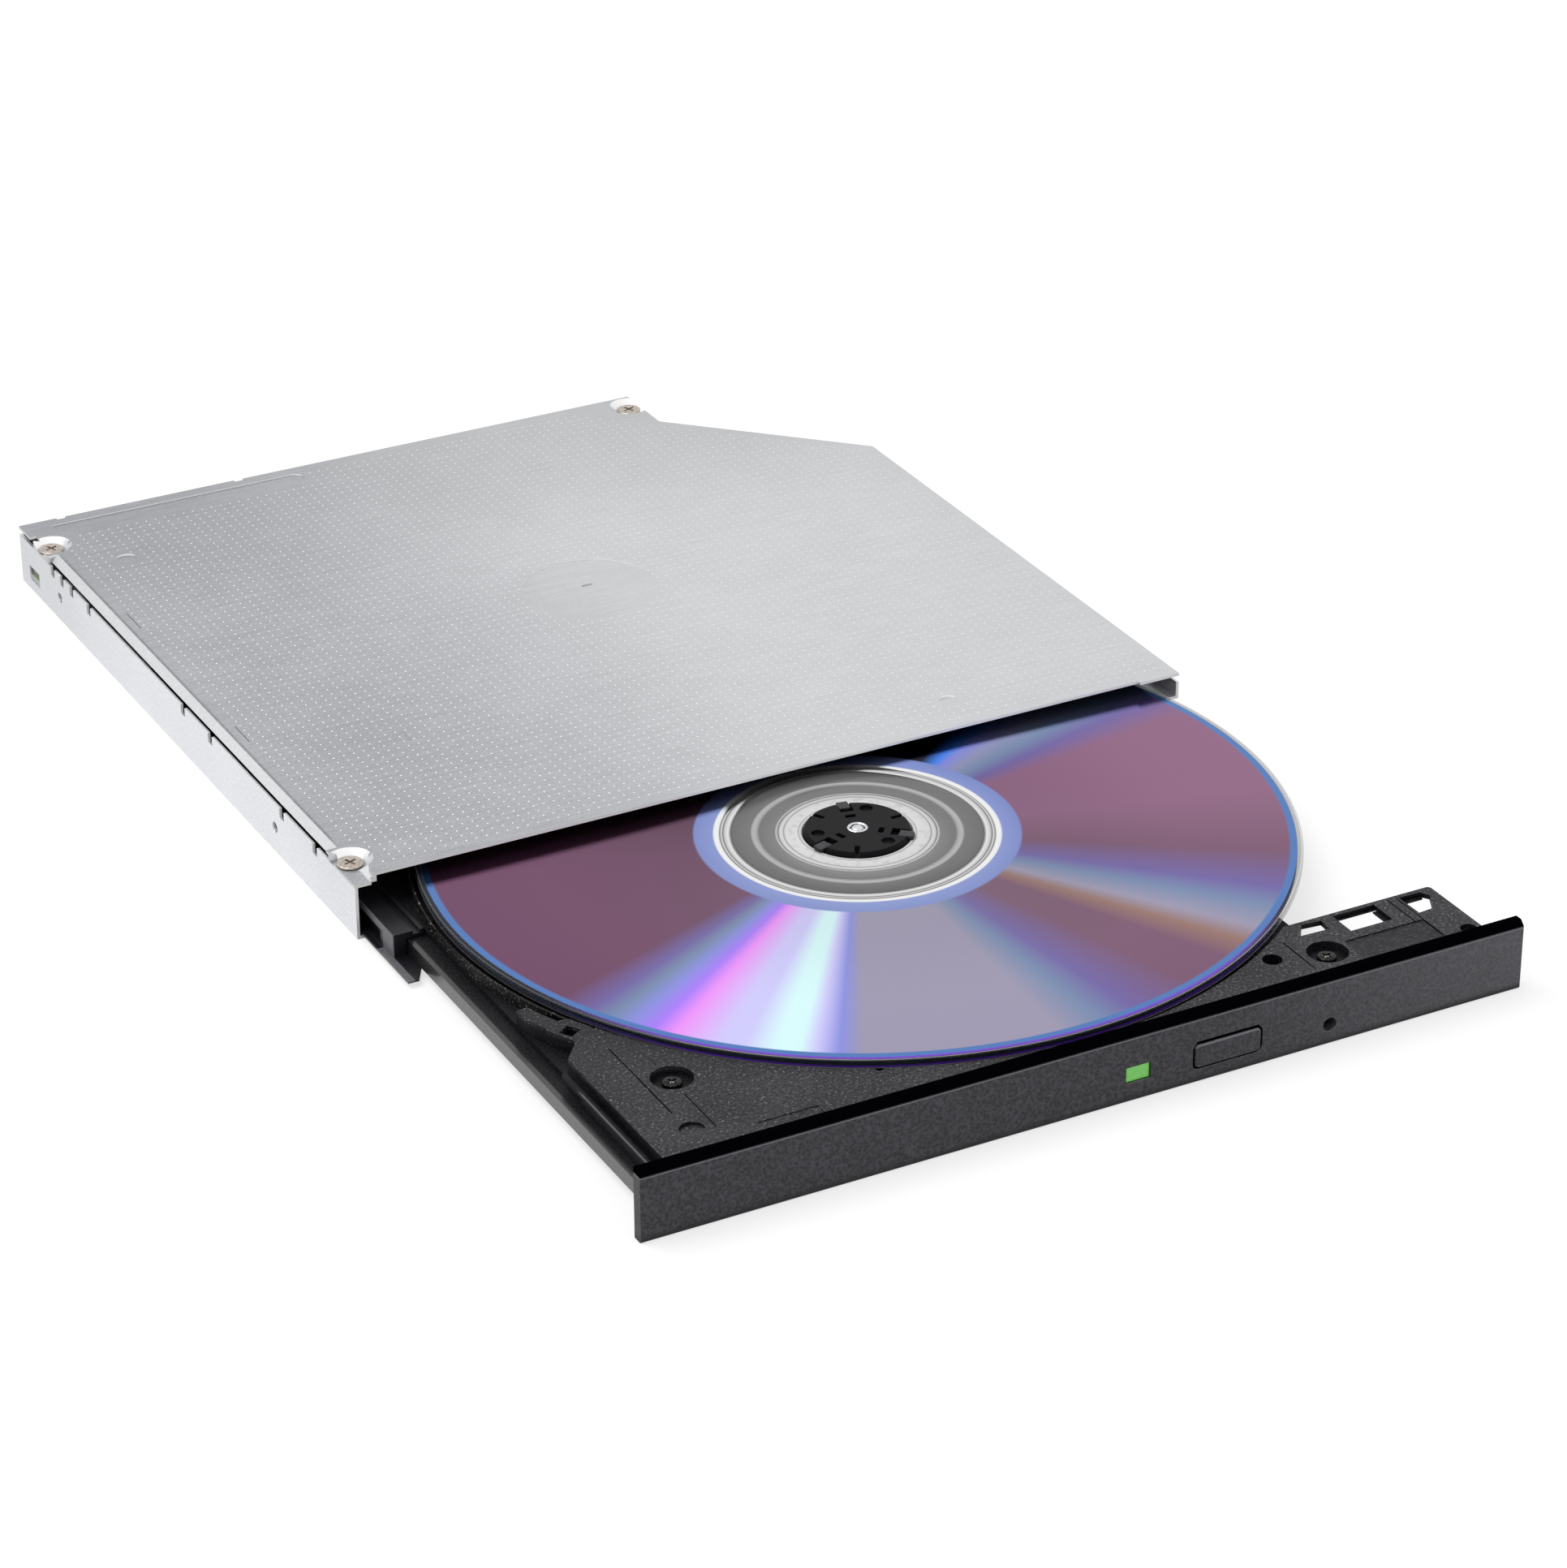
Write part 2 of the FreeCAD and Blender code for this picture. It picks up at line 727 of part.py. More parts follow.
def tray():
    """Moulded tray: a thin deck, a round recess for the disc, side strips and a front arm."""
    body = block(tray_left, tray_right, tray_front, tray_rear, frame_under, deck_top)
    arm_right = right - arm_reach
    arm = block(tray_right - 0.5, arm_right, tray_front, front + arm_depth, deck_top - arm_thickness, deck_top)
    arm = arm.makeFillet(0.6, [e for e in arm.Edges
                               if e.BoundBox.XMin > arm_right - 0.1 and e.BoundBox.YMin > front + arm_depth - 0.1
                               and e.BoundBox.ZLength > 0.5 * arm_thickness])
    left_strip = edge_strip(tray_front, tray_rear)
    right_strip = mirrored(edge_strip(front + right_strip_start, tray_rear))
    lip_x = tray_left - lip_offset
    lip_end = front + runner_setback - runner_toe - 1.5
    lip_top = shelf_top + lip_height
    lip = block(lip_x, lip_x + lip_width, tray_front, lip_end, shelf_top - shelf_thickness, lip_top)
    lip_over = block(lip_x, tray_left + 0.1, lip_end - 0.1, front + ledge_corner - 0.5, runner_top + 0.2,
                     lip_top)
    body = all_of([body, arm, left_strip, right_strip, lip, lip_over])

    recess = post(disc_x, disc_y, recess_top, deck_top + 1, recess_radius)
    ledge_top = deck_top - ledge_drop
    ledge_right = disc_x - 0.7 * recess_radius
    finger_inner = recess_radius + finger_gap
    finger_outer = finger_inner + finger_width
    ledge = prism([
        (tray_left - 0.1, front + ledge_corner), (eyelet_at(finger_outer + 0.4,
                                                            -2.0)), (eyelet_at(recess_radius - 1, -2.0)),
        (ledge_right, front + ledge_start), (ledge_right, tray_rear + 1), (tray_left - 0.1, tray_rear + 1),
    ], ledge_top, deck_top + 1)
    finger = ring(disc_x, disc_y, ledge_top - 1, deck_top + 2, finger_inner, finger_outer)
    finger = finger.cut(block(left, right, front + finger_end, rear + 1, ledge_top - 2, deck_top + 3))
    eyelet = ring(disc_x, disc_y, ledge_top - 1, deck_top + 2, recess_radius + 0.1, finger_outer + 0.3)
    eyelet_x, eyelet_y = eyelet_at(finger_inner + 1.0, 0)
    eyelet = eyelet.common(post(eyelet_x, eyelet_y, ledge_top - 1, deck_top + 2, 3.0))
    ledge = ledge.cut([finger, eyelet])
    body = body.cut([recess, ledge])

    skin = tray_skin
    hollow = block(tray_left + skin, tray_right - skin, tray_front + skin, tray_rear - skin, frame_under - 1,
                   recess_under)
    ledge_floor = block(tray_left, tray_left + 9, front + ledge_corner - 1.2, tray_rear, ledge_top - 0.9,
                        deck_top)
    hollow = hollow.cut(ledge_floor)
    deck_room = block(tray_left + skin, tray_right - skin, tray_front + skin, front + ledge_start - 2,
                      recess_under - 0.1, deck_top - deck_thickness)
    deck_room = deck_room.cut([post(disc_x, disc_y, 0, 20, recess_radius + skin), ledge_floor])
    cuts = [hollow, deck_room]
    cuts.append(post(disc_x, disc_y, recess_under - 1, recess_top + 1, spindle_window_radius))
    window = round_slot(lens_start - 8, lens_start + lens_travel + 7, pickup_window_width, recess_under - 1,
                        recess_top + 0.5)
    cuts.append(on_traverse(window))
    lane = catch_radius + 0.35
    cuts.append(block(catch_x - lane, catch_x + lane, tray_rear - skin - 1, tray_rear + 1, frame_under - 1,
                      catch_top + 0.2))
    cuts += arm_windows()
    body = body.cut(cuts)

    bosses = []
    for x, y in tray_screw_places():
        bosses.append(small_post(x, y, deck_top - boss_depth, deck_top - 0.2, tray_screw_sink_radius + 0.5))
    px, py = latch_pivot()
    bosses.append(post(px, py, frame_under, deck_top - 0.5, latch_pin_radius))
    bosses[0] = bosses[0].cut(post(disc_x, disc_y, 0, 20, recess_radius))
    guide_x, guide_y = tray_right - guide_hole_inset, front + guide_hole_back
    bosses.append(small_post(guide_x, guide_y, latch_bottom + latch_thickness + 0.3, deck_top - 0.2,
                             guide_tube_radius))
    body = all_of([body] + bosses)

    cuts = []
    for x, y in tray_screw_places():
        cuts.append(post(x, y, deck_top - tray_screw_sink_depth, deck_top + 1, tray_screw_sink_radius))
        cuts.append(small_post(x, y, deck_top - 4, deck_top + 1, tray_screw_radius))
    cuts.append(post(guide_x, guide_y, 0, deck_top + 1, guide_hole_radius))
    cuts.append(small_post(tray_left + gate_hole_inset, front + gate_hole_back, 0, deck_top + 1,
                           gate_hole_radius))
    cuts.append(half_moon(tray_left + deck_moon_inset, front + deck_moon_back, deck_top,
                          deck_moon_radius, deck_moon_depth))
    cuts.append(block(tray_right + 2.65, right - arm_reach - 5.7, tray_front - 1, front + 9.85,
                      deck_top - arm_sink, deck_top + 1))
    cuts.append(block(tray_left + 14.35, tray_left + 22.8, tray_front - 1, front + 6.6, deck_top - 0.1,
                      deck_top + 1))
    cuts.append(block(tray_right - 2.2, tray_right + 0.1, front + arm_depth, front + arm_depth + 3,
                      recess_top, deck_top + 1))
    hole = block(eyelet_x - eyelet_hole / 2, eyelet_x + eyelet_hole / 2, eyelet_y - eyelet_hole / 2,
                 eyelet_y + eyelet_hole / 2, ledge_top - 0.5, deck_top + 1)
    hole.rotate(Vector(eyelet_x, eyelet_y, 0), Vector(0, 0, 1), eyelet_hole_turn)
    cuts.append(hole)
    for x, z, width, height in ((button_x, plunger_height + 0.3, button_width - 1.6, button_height - 1.0),
                                (lamp_x, lamp_middle, lamp_width - 0.6, lamp_height - 0.6),
                                (pin_hole_x, pin_hole_height, 2 * pin_hole_radius, 2 * pin_hole_radius)):
        cuts.append(block(x - width / 2, x + width / 2, tray_front - 1, tray_front + skin + 1,
                          z - height / 2, z + height / 2))
    for x in hook_places():
        cuts.append(block(x - hook_width / 2 - 0.2, x + hook_width / 2 + 0.2, tray_front - 1,
                          tray_front + skin + 1,
                          hook_low - 0.2, hook_high + 0.2))
    return body.cut(cuts)


def arm_windows():
    """Three windows through the arm at the front right of the tray."""
    z0 = deck_top - arm_thickness - 1
    z1 = deck_top + 1
    y0 = front + 11.7
    y1 = front + 16.4
    x0 = tray_right
    x1 = right - arm_reach
    first = prism([(x0 - 2.1, y0 + 2.0), (x0 + 2.7, y0 + 1.8), (x0 + 2.9, y1 - 0.6), (x0 + 0.1, y1 - 0.3)],
                  z0, z1)
    second = block(x0 + 4.9, x0 + 11.4, y0, y1 - 0.3, z0, z1)
    third = prism([(x1 - 5.2, y0 - 0.2), (x1 - 2.9, y0), (x1 - 1.3, y1 - 1.6), (x1 - 2.1, y1 - 0.4),
                   (x1 - 5.3, y1 - 0.3)],
                  z0, z1)
    return [first, second, third]


def tray_screws():
    """Two screws that hold the frame to the deck."""
    solids = []
    for x, y in tray_screw_places():
        head = small_post(x, y, deck_top - tray_screw_sink_depth + 0.01, deck_top - 0.5,
                          tray_screw_head_radius, 24)
        shank = small_post(x, y, deck_top - boss_depth + 0.1, deck_top - 1.0, tray_screw_radius - 0.03)
        solids.append(all_of([head, shank]))
    return Part.makeCompound(solids)


tray_screw_radius = 0.7


def under_plate():
    """Thin steel plate that closes the tray from below."""
    z1 = frame_under
    z0 = z1 - under_plate_thickness
    x1 = catch_x - catch_radius - 0.9
    plate = block(tray_left + plate_inset, x1, front + 2.0, tray_rear - 0.6, z0, z1)
    plate = plate.cut(small_post(disc_x, disc_y, z0 - 1, z1 + 1, 5.0, 24))
    louvres = []
    for step in range(5):
        y = disc_y + 20 + step * 4
        louvres.append(block(-12.0, 12.0, y, y + 1.2, z0 - 1, z1 + 1))
    return plate.cut(louvres)


# Bezel

hook_width = 5.0
hook_low = deck_top - deck_thickness - 0.75
hook_high = deck_top - deck_thickness - 0.1


def hook_places():
    """Snap hooks behind the bezel."""
    return (tray_left + 11.9, button_x - 33.0, tray_right - 5.3)


def bezel():
    """Moulded front panel with a bevelled top edge, openings and snap hooks."""
    x0 = -bezel_width / 2
    x1 = bezel_width / 2
    bevel = bezel_chamfer
    profile = [
        Vector(x0, bezel_front, 0.25), Vector(x0, bezel_front + 0.25, 0), Vector(x0, bezel_back, 0),
        Vector(x0, bezel_back, bezel_height), Vector(x0, bezel_front + bevel, bezel_height),
        Vector(x0, bezel_front, bezel_height - bevel),
    ]
    panel = Part.Face(Part.makePolygon(profile + profile[:1])).extrude(Vector(x1 - x0, 0, 0))
    y0 = bezel_front - 1
    y1 = bezel_back + 1
    cuts = [
        rounded_window(button_x, button_middle, button_width, button_height, window_corner, y0, y1),
        block(lamp_x - lamp_width / 2, lamp_x + lamp_width / 2, y0, y1,
              lamp_middle - lamp_height / 2, lamp_middle + lamp_height / 2),
        Part.makeCylinder(pin_hole_radius, 6, Vector(pin_hole_x, y0, pin_hole_height), Vector(0, 1, 0)),
    ]
    panel = panel.cut(cuts)
    hooks = []
    for x in hook_places():
        hooks.append(block(x - hook_width / 2, x + hook_width / 2, bezel_back - 0.3,
                           tray_front + tray_skin + 1.6,
                           hook_low, hook_high))
        hooks.append(block(x - hook_width / 2, x + hook_width / 2, tray_front + tray_skin + 0.1,
                           tray_front + tray_skin + 1.2, hook_low - 0.5, hook_low + 0.1))
    return all_of([panel] + hooks)


def eject_button():
    """Push button: a cap in the bezel's opening and a stem to the switch."""
    cap_width = button_width - 2 * button_gap
    cap_height = button_height - 2 * button_gap
    cap = rounded_window(button_x, button_middle, cap_width, cap_height, window_corner - button_gap,
                         bezel_front - button_proud, bezel_back - button_travel - 0.2)
    front_rim = [e for e in cap.Edges if e.BoundBox.YMax < bezel_front - button_proud + 0.01]
    cap = cap.makeChamfer(0.15, front_rim)
    stem = block(button_x - 3.0, button_x + 3.0, bezel_back - button_travel - 0.3, switch_front - 0.8,
                 plunger_height - 0.8, plunger_height + 0.8)
    return all_of([cap, stem])


switch_front = tray_front + tray_skin + 2.2


def switch_plunger():
    """The push switch's own plunger, which moves with the button."""
    return block(button_x - 0.6, button_x + 0.6, switch_front - 0.8, switch_front + 0.4,
                 plunger_height - 0.5, plunger_height + 0.5)


def push_switch():
    """Small push switch on the front board."""
    z0 = front_board_top
    body = block(button_x - 2.2, button_x + 2.2, switch_front, switch_front + 2.4, z0, recess_under - 0.1)
    bore = block(button_x - 0.65, button_x + 0.65, switch_front - 1, switch_front + 1.2,
                 plunger_height - 0.55, plunger_height + 0.55)
    return body.cut(bore)


front_board_bottom = frame_under + 0.1
front_board_thickness = 0.6
front_board_top = front_board_bottom + front_board_thickness
plunger_height = (front_board_top + recess_under) / 2


def front_board():
    """Small printed board behind the bezel for the lamp and the switch."""
    return block(lamp_x - 4.0, latch_pivot_x - 2.3, tray_front + tray_skin + 0.3, front + 8.8,
                 front_board_bottom, front_board_top)


def lamp():
    """The small lamp itself, on a riser so that it shines into the light pipe."""
    y0 = tray_front + tray_skin + 0.6
    riser = block(lamp_x - 1.4, lamp_x + 1.4, y0, y0 + 1.6, front_board_top, lamp_middle + 0.6)
    return riser


def light_pipe():
    """Clear block that carries the lamp's light to the bezel's face."""
    return block(lamp_x - lamp_width / 2 + 0.05, lamp_x + lamp_width / 2 - 0.05, bezel_front + 0.35,
                 bezel_back - 0.02,
                 lamp_middle - lamp_height / 2 + 0.05, lamp_middle + lamp_height / 2 - 0.05)


# Cable between the boards

cable_width = 12.0
cable_x = tray_left + 19.85
cable_thickness = 0.1
cable_low = shell_sheet + 0.1
cable_loop = 0.45
cable_front = 2.0


def flat_cable():
    """Flat flexible cable folded once under the tray, drawn for the tray as shown."""
    y_board = board_front + 2.5
    y_tray = tray_rear - tray_skin - 0.4 - tray_out
    y_fold = front + cable_front
    z_low = cable_low
    z_high = cable_low + cable_loop
    middle = (z_low + z_high + cable_thickness) / 2
    outer = (z_high + cable_thickness - z_low) / 2
    inner = outer - cable_thickness
    x0 = cable_x - cable_width / 2
    low_run = block(x0, x0 + cable_width, y_fold, y_board, z_low, z_low + cable_thickness)
    high_run = block(x0, x0 + cable_width, y_fold, y_tray, z_high, z_high + cable_thickness)
    fold = Part.makeCylinder(outer, cable_width, Vector(x0, y_fold, middle), Vector(1, 0, 0))
    fold = fold.cut(Part.makeCylinder(inner, cable_width + 2, Vector(x0 - 1, y_fold, middle), Vector(1, 0, 0)))
    fold = fold.cut(block(x0 - 1, x0 + cable_width + 1, y_fold, y_fold + 3, 0, case_height))
    return all_of([low_run, high_run, fold])


def board_socket():
    """Socket under the main board for the flat cable."""
    x0 = cable_x - cable_width / 2 - 1.0
    return block(x0, x0 + cable_width + 2.0, board_front + 0.2, board_front + 4.0,
                 cable_low + cable_thickness + touch_gap, board_bottom)


def tray_socket():
    """Socket under the tray's rear wall for the flat cable."""
    x0 = cable_x - cable_width / 2 - 1.0
    z0 = cable_low + cable_loop + cable_thickness + touch_gap
    return block(x0, x0 + cable_width + 2.0, tray_rear - tray_skin - 4.2, tray_rear - tray_skin - 0.05,
                 z0, frame_under + 1.2)


# Traverse, on its own axes: X runs outward along the rods from the spindle

isolator_bore = 0.95
isolator_radius = 2.2
isolator_waist = 1.55


def isolator_places():
    """Three soft mounts carry the traverse."""
    return [(-14.5, 9.0), (-14.5, -11.0), (70.0, 0.0)]


def chassis_outline():
    """Outline of the traverse plate."""
    return [
        (-18.0, -14.5), (-18.0, 12.5), (-8.0, 16.5), (58.0, 16.5), (66.9, 15.5), (73.2, 4.0),
        (73.2, -4.0), (66.9, -14.8), (60.0, -18.2), (-6.0, -18.2),
    ]


def traverse_chassis():
    """Steel plate with a window for the pickup, rod seats and ears for the soft mounts."""
    plate = prism(chassis_outline(), chassis_bottom, chassis_top)
    window = block(rod_start + 2.6, lens_start + lens_travel + sled_outer + 0.6, -sled_half_width - 0.5,
                   sled_half_width + 0.5, 0, 20)
    holes = [window]
    holes += [small_post(s, t, 0, 20, isolator_waist + touch_gap) for s, t in isolator_places()]
    plate = plate.cut(holes)
    seats = []
    for t in (-rod_spread, rod_spread):
        for s0, s1 in ((rod_start - 0.4, rod_start + 2.2), (rod_end - 1.4, rod_end + 0.4)):
            seats.append(block(s0, s1, t - 1.5, t + 1.5, chassis_bottom, rod_z + 0.6))
    plate = all_of([plate] + seats)
    cuts = [motor_room()]
    for t in (-rod_spread, rod_spread):
        cuts.append(block(rod_start, rod_end, t - rod_radius - 0.01, t + rod_radius + 0.01,
                          rod_z - rod_radius, 20))
    return on_traverse(plate.cut(cuts))


def motor_room():
    """Opening in the plate under the feed motor and its screw."""
    return block(-6.5, lens_start + lens_travel + 4.2, -screw_offset - motor_radius - 0.2,
                 -screw_offset + motor_radius + 0.2, chassis_bottom - 1, chassis_top + 0.01)


def rod_blank(t, radius):
    """A rod's own cylinder."""
    return Part.makeCylinder(radius, rod_end - rod_start, Vector(rod_start, t, rod_z), Vector(1, 0, 0))


def guide_rod(side):
    """Ground steel rod that the pickup slides on."""
    return on_traverse(rod_blank(side * rod_spread, rod_radius))


def isolators():
    """Rubber mounts with a waist that the plate's ears sit in."""
    solids = []
    for s, t in isolator_places():
        low = small_post(s, t, frame_under + 0.05, chassis_bottom, isolator_radius)
        waist = small_post(s, t, chassis_bottom, chassis_top, isolator_waist)
        high = small_post(s, t, chassis_top, recess_under - 0.1, isolator_radius)
        bore = small_post(s, t, 0, case_height, isolator_bore)
        solids.append(on_traverse(all_of([low, waist, high]).cut(bore)))
    return Part.makeCompound(solids)


def isolator_screws():
    """Shouldered screws that hold the soft mounts on the tray's stalks."""
    solids = []
    for s, t in isolator_places():
        ceiling = recess_under if s < recess_radius else deck_top - deck_thickness
        solids.append(on_traverse(small_post(s, t, frame_under + 0.05, ceiling, isolator_bore - touch_gap)))
    return Part.makeCompound(solids)


spindle_base_top = chassis_top + 0.3
stator_bottom = spindle_base_top + 0.1
rotor_top = disc_seat - mat_thickness - turntable_thickness
spindle_base_radius = 13.0


def spindle_base():
    """Motor base plate on the traverse, with the bearing sleeve."""
    plate = small_post(0, 0, chassis_top, spindle_base_top, spindle_base_radius)
    sleeve = post(0, 0, chassis_top, rotor_top - rotor_wall - 0.15, bearing_radius)
    solid = all_of([plate, sleeve])
    return on_traverse(solid.cut(post(0, 0, chassis_top + 0.1, 20, shaft_radius + bearing_gap)))


def stator():
    """Steel core with its wound teeth."""
    core = small_post(0, 0, stator_bottom, stator_bottom + stator_thickness, 4.2)
    core = core.cut(post(0, 0, stator_bottom - 1, stator_bottom + 2, bearing_radius + 0.02))
    teeth = []
    for step in range(stator_teeth):
        tooth = block(3.8, stator_radius - 0.6, -0.7, 0.7, stator_bottom, stator_bottom + stator_thickness)
        shoe = block(stator_radius - 1.0, stator_radius - 0.1, -2.1, 2.1, stator_bottom,
                     stator_bottom + stator_thickness)
        tooth = tooth.fuse(shoe)
        tooth.rotate(Vector(0, 0, 0), Vector(0, 0, 1), step * 360 / stator_teeth)
        teeth.append(tooth)
    return on_traverse(all_of([core] + teeth))


def rotor():
    """Cup of the motor, pressed on the shaft."""
    z1 = rotor_top
    z0 = z1 - rotor_wall - rotor_drop
    cup = small_post(disc_x, disc_y, z0, z1, rotor_radius, 36)
    inside = small_post(disc_x, disc_y, z0 - 1, z1 - rotor_wall, rotor_radius - rotor_wall, 36)
    return cup.cut([inside, post(disc_x, disc_y, z0, z1 + 1, shaft_radius)])


def rotor_magnet():
    """Ring magnet inside the cup."""
    z1 = rotor_top - rotor_wall
    outer = rotor_radius - rotor_wall
    magnet = small_post(disc_x, disc_y, z1 - rotor_drop + 0.2, z1, outer, 36)
    return magnet.cut(small_post(disc_x, disc_y, 0, case_height, outer - magnet_width, 36))


def spindle_shaft():
    """Shaft with a polished end that shows in the middle of the hub."""
    return post(disc_x, disc_y, chassis_top + 0.25, hub_top - 0.35, shaft_radius)


hub_top = disc_top + hub_stand


def turntable():
    """Round plate under the disc with the hub's collar."""
    plate = small_post(disc_x, disc_y, rotor_top, rotor_top + turntable_thickness, turntable_radius, 48)
    return plate.cut(post(disc_x, disc_y, 0, case_height, shaft_radius))


def turntable_mat():
    """Rubber ring that the disc sits on."""
    z0 = rotor_top + turntable_thickness
    mat = small_post(disc_x, disc_y, z0, disc_seat, turntable_radius, 48)
    return mat.cut(small_post(disc_x, disc_y, 0, case_height, turntable_radius - mat_width, 48))


def clamp_hub():
    """Moulded hub: windows for the three jaws, and notches, pockets and holes between them."""
    z0 = rotor_top + turntable_thickness
    collar = shaft_radius + hub_collar_width
    hub = turned([
        (shaft_radius, z0), (hub_radius, z0), (hub_radius, hub_top - 0.5), (hub_radius - 0.3, hub_top),
        (collar, hub_top), (collar, hub_top - 0.3), (shaft_radius, hub_top - 0.3),
    ], 0, 0)
    middle = Vector(0, 0, 0)
    axis = Vector(0, 0, 1)
    cuts = []
    for step in range(jaw_count):
        across = jaw_width / 2 + 0.15
        window = block(jaw_window_inner, hub_radius + 1, -across, across, jaw_bottom - 0.05, hub_top + 1)
        window.rotate(middle, axis, jaw_angle(step))
        notch = block(hub_radius - 1.8, hub_radius + 1, -0.22, 0.22, disc_top - 0.2, hub_top + 1)
        notch.rotate(middle, axis, jaw_angle(step) + hub_notch_turn)
        pocket = small_post(hub_radius - 1.75, 0, hub_top - 0.4, hub_top + 1, 0.95)
        pocket.rotate(middle, axis, jaw_angle(step) + hub_pocket_turn)
        hole = block(hub_hole_place - 0.4, hub_hole_place + 0.4, -0.75, 0.75, disc_top, hub_top + 1)
        hole.rotate(middle, axis, jaw_angle(step))
        cuts += [window, notch, pocket, hole]
    hub = hub.cut(cuts)
    hub.translate(Vector(disc_x, disc_y, 0))
    return hub


jaw_bottom = disc_top + 0.08


def jaw_angle(step):
    """Direction of a jaw round the hub."""
    return jaw_first_angle + step * 360 / jaw_count


def clamp_jaw(step):
    """Sprung jaw that holds the disc down; its nose is bevelled."""
    outer = hub_radius + jaw_reach
    jaw = prism([
        (outer - jaw_length, -jaw_width / 2), (outer - 0.2, -jaw_width / 2), (outer, -jaw_width / 2 + 0.3),
        (outer, jaw_width / 2 - 0.3), (outer - 0.2, jaw_width / 2), (outer - jaw_length, jaw_width / 2),
    ], jaw_bottom, jaw_bottom + jaw_height)
    slope = [edge for edge in jaw.Edges if edge.BoundBox.XMin > outer - 0.01 and edge.BoundBox.ZMin > jaw_bottom + 0.1]
    jaw = jaw.makeChamfer(jaw_nose_chamfer, slope)
    jaw.rotate(Vector(0, 0, 0), Vector(0, 0, 1), jaw_angle(step))
    jaw.translate(Vector(disc_x, disc_y, 0))
    return jaw


def disc():
    """Recordable disc with a stacking ring on its underside."""
    plate = ring(disc_x, disc_y, disc_seat, disc_top, disc_bore_radius, disc_radius)
    low = ring(disc_x, disc_y, disc_seat - stack_ring_height, disc_seat + 0.1, stack_ring_radius - 0.35,
               stack_ring_radius + 0.35)
    return all_of([plate, low])


# Pickup and its drive

sled_bottom = frame_under + 0.4
sled_top = sled_bottom + sled_height
lens_holder_top = recess_top - 0.15


def pickup_sled():
    """Cast carriage of the pickup: bushes on one rod, a fork on the other, a well for the lens."""
    s0 = lens_start - sled_inner
    s1 = lens_start + sled_outer
    half = sled_half_width
    plan = [
        (s0, -7.5), (s0, 7.5), (s0 + 3.5, half), (s1 - 1.5, half), (s1, half - 3.0), (s1, -half + 3.0),
        (s1 - 1.5, -half), (s0 + 3.5, -half),
    ]
    sled = prism(plan, sled_bottom, sled_top)
    cuts = [rod_blank_long(-rod_spread, rod_radius + bearing_gap)]
    fork = rod_radius + bearing_gap
    cuts.append(block(0, 80, rod_spread - fork, half + 1, rod_z - fork, rod_z + fork))
    cuts.append(block(s0 + 5.6, s1 - 3.0, -half - 1, -rod_spread + 2.0, sled_bottom - 1, sled_top + 1))
    cuts.append(block(lens_start - 5.3, lens_start + 4.9, -6.6, 6.6, sled_top - 1.0, sled_top + 1))
    return on_traverse(sled.cut(cuts))


def rod_blank_long(t, radius):
    """A bore along a rod's line, past both ends."""
    return Part.makeCylinder(radius, 90, Vector(0, t, rod_z), Vector(1, 0, 0))


def rack_clip():
    """Spring clip on the sled whose teeth ride on the lead screw."""
    s0 = lens_start - 3.3
    s1 = lens_start + 2.4
    t0 = -screw_offset - 0.9
    z0 = rod_z + screw_radius + touch_gap
    clip = block(s0, s1, t0, -rod_spread - 1.1, z0, z0 + 0.45)
    arm = block(s0, s1, -rod_spread - 1.4, -rod_spread + 2.0 - touch_gap, rod_z + rod_radius + touch_gap,
                sled_top)
    riser = block(s0, s1, -rod_spread - 1.4, -rod_spread - 1.1, z0, sled_top)
    return on_traverse(all_of([clip, arm, riser]))


def lens_magnets():
    """Two magnets beside the lens carrier."""
    solids = []
    for side in (-1, 1):
        s = lens_start - 0.2
        solids.append(on_traverse(block(s - 3.0, s + 3.0, side * 6.1 - 0.45, side * 6.1 + 0.45,
                                        sled_top - 0.98, sled_top + 0.25)))
    return Part.makeCompound(solids)


def lens_holder():
    """Floating carrier of the lens."""
    half_s = lens_holder_length / 2
    half_t = lens_holder_width / 2 - 0.5
    z0 = sled_top - 0.6
    body = prism([
        (lens_start - half_s, -half_t + 1.2), (lens_start - half_s + 1.2,
                                               -half_t), (lens_start + half_s - 1.2, -half_t),
        (lens_start + half_s, -half_t + 1.2), (lens_start + half_s, half_t - 1.2), (lens_start + half_s - 1.2,
                                                                                    half_t),
        (lens_start - half_s + 1.2, half_t), (lens_start - half_s, half_t - 1.2),
    ], z0, lens_holder_top)
    bore = post(lens_start, 0, z0 - 1, lens_holder_top + 1, lens_radius - 0.3)
    seat = post(lens_start, 0, lens_holder_top - 0.4, lens_holder_top + 1, lens_radius + 0.02)
    return on_traverse(body.cut([bore, seat]))


def objective_lens():
    """Small moulded lens with a domed top."""
    z0 = lens_holder_top - 0.4
    body = turned([
        (0, z0), (lens_radius, z0), (lens_radius, z0 + 0.35), (lens_radius * 0.6, z0 + 0.5), (0, z0 + 0.6),
    ], lens_start, 0)
    return on_traverse(body)


screw_start = 3.6
screw_end = lens_start + lens_travel + 3.0


def lead_screw():
    """Screw that drives the pickup, with its thread left plain."""
    return on_traverse(Part.makeCylinder(screw_radius, screw_end - screw_start,
                                         Vector(screw_start, -screw_offset, rod_z), Vector(1, 0, 0)))


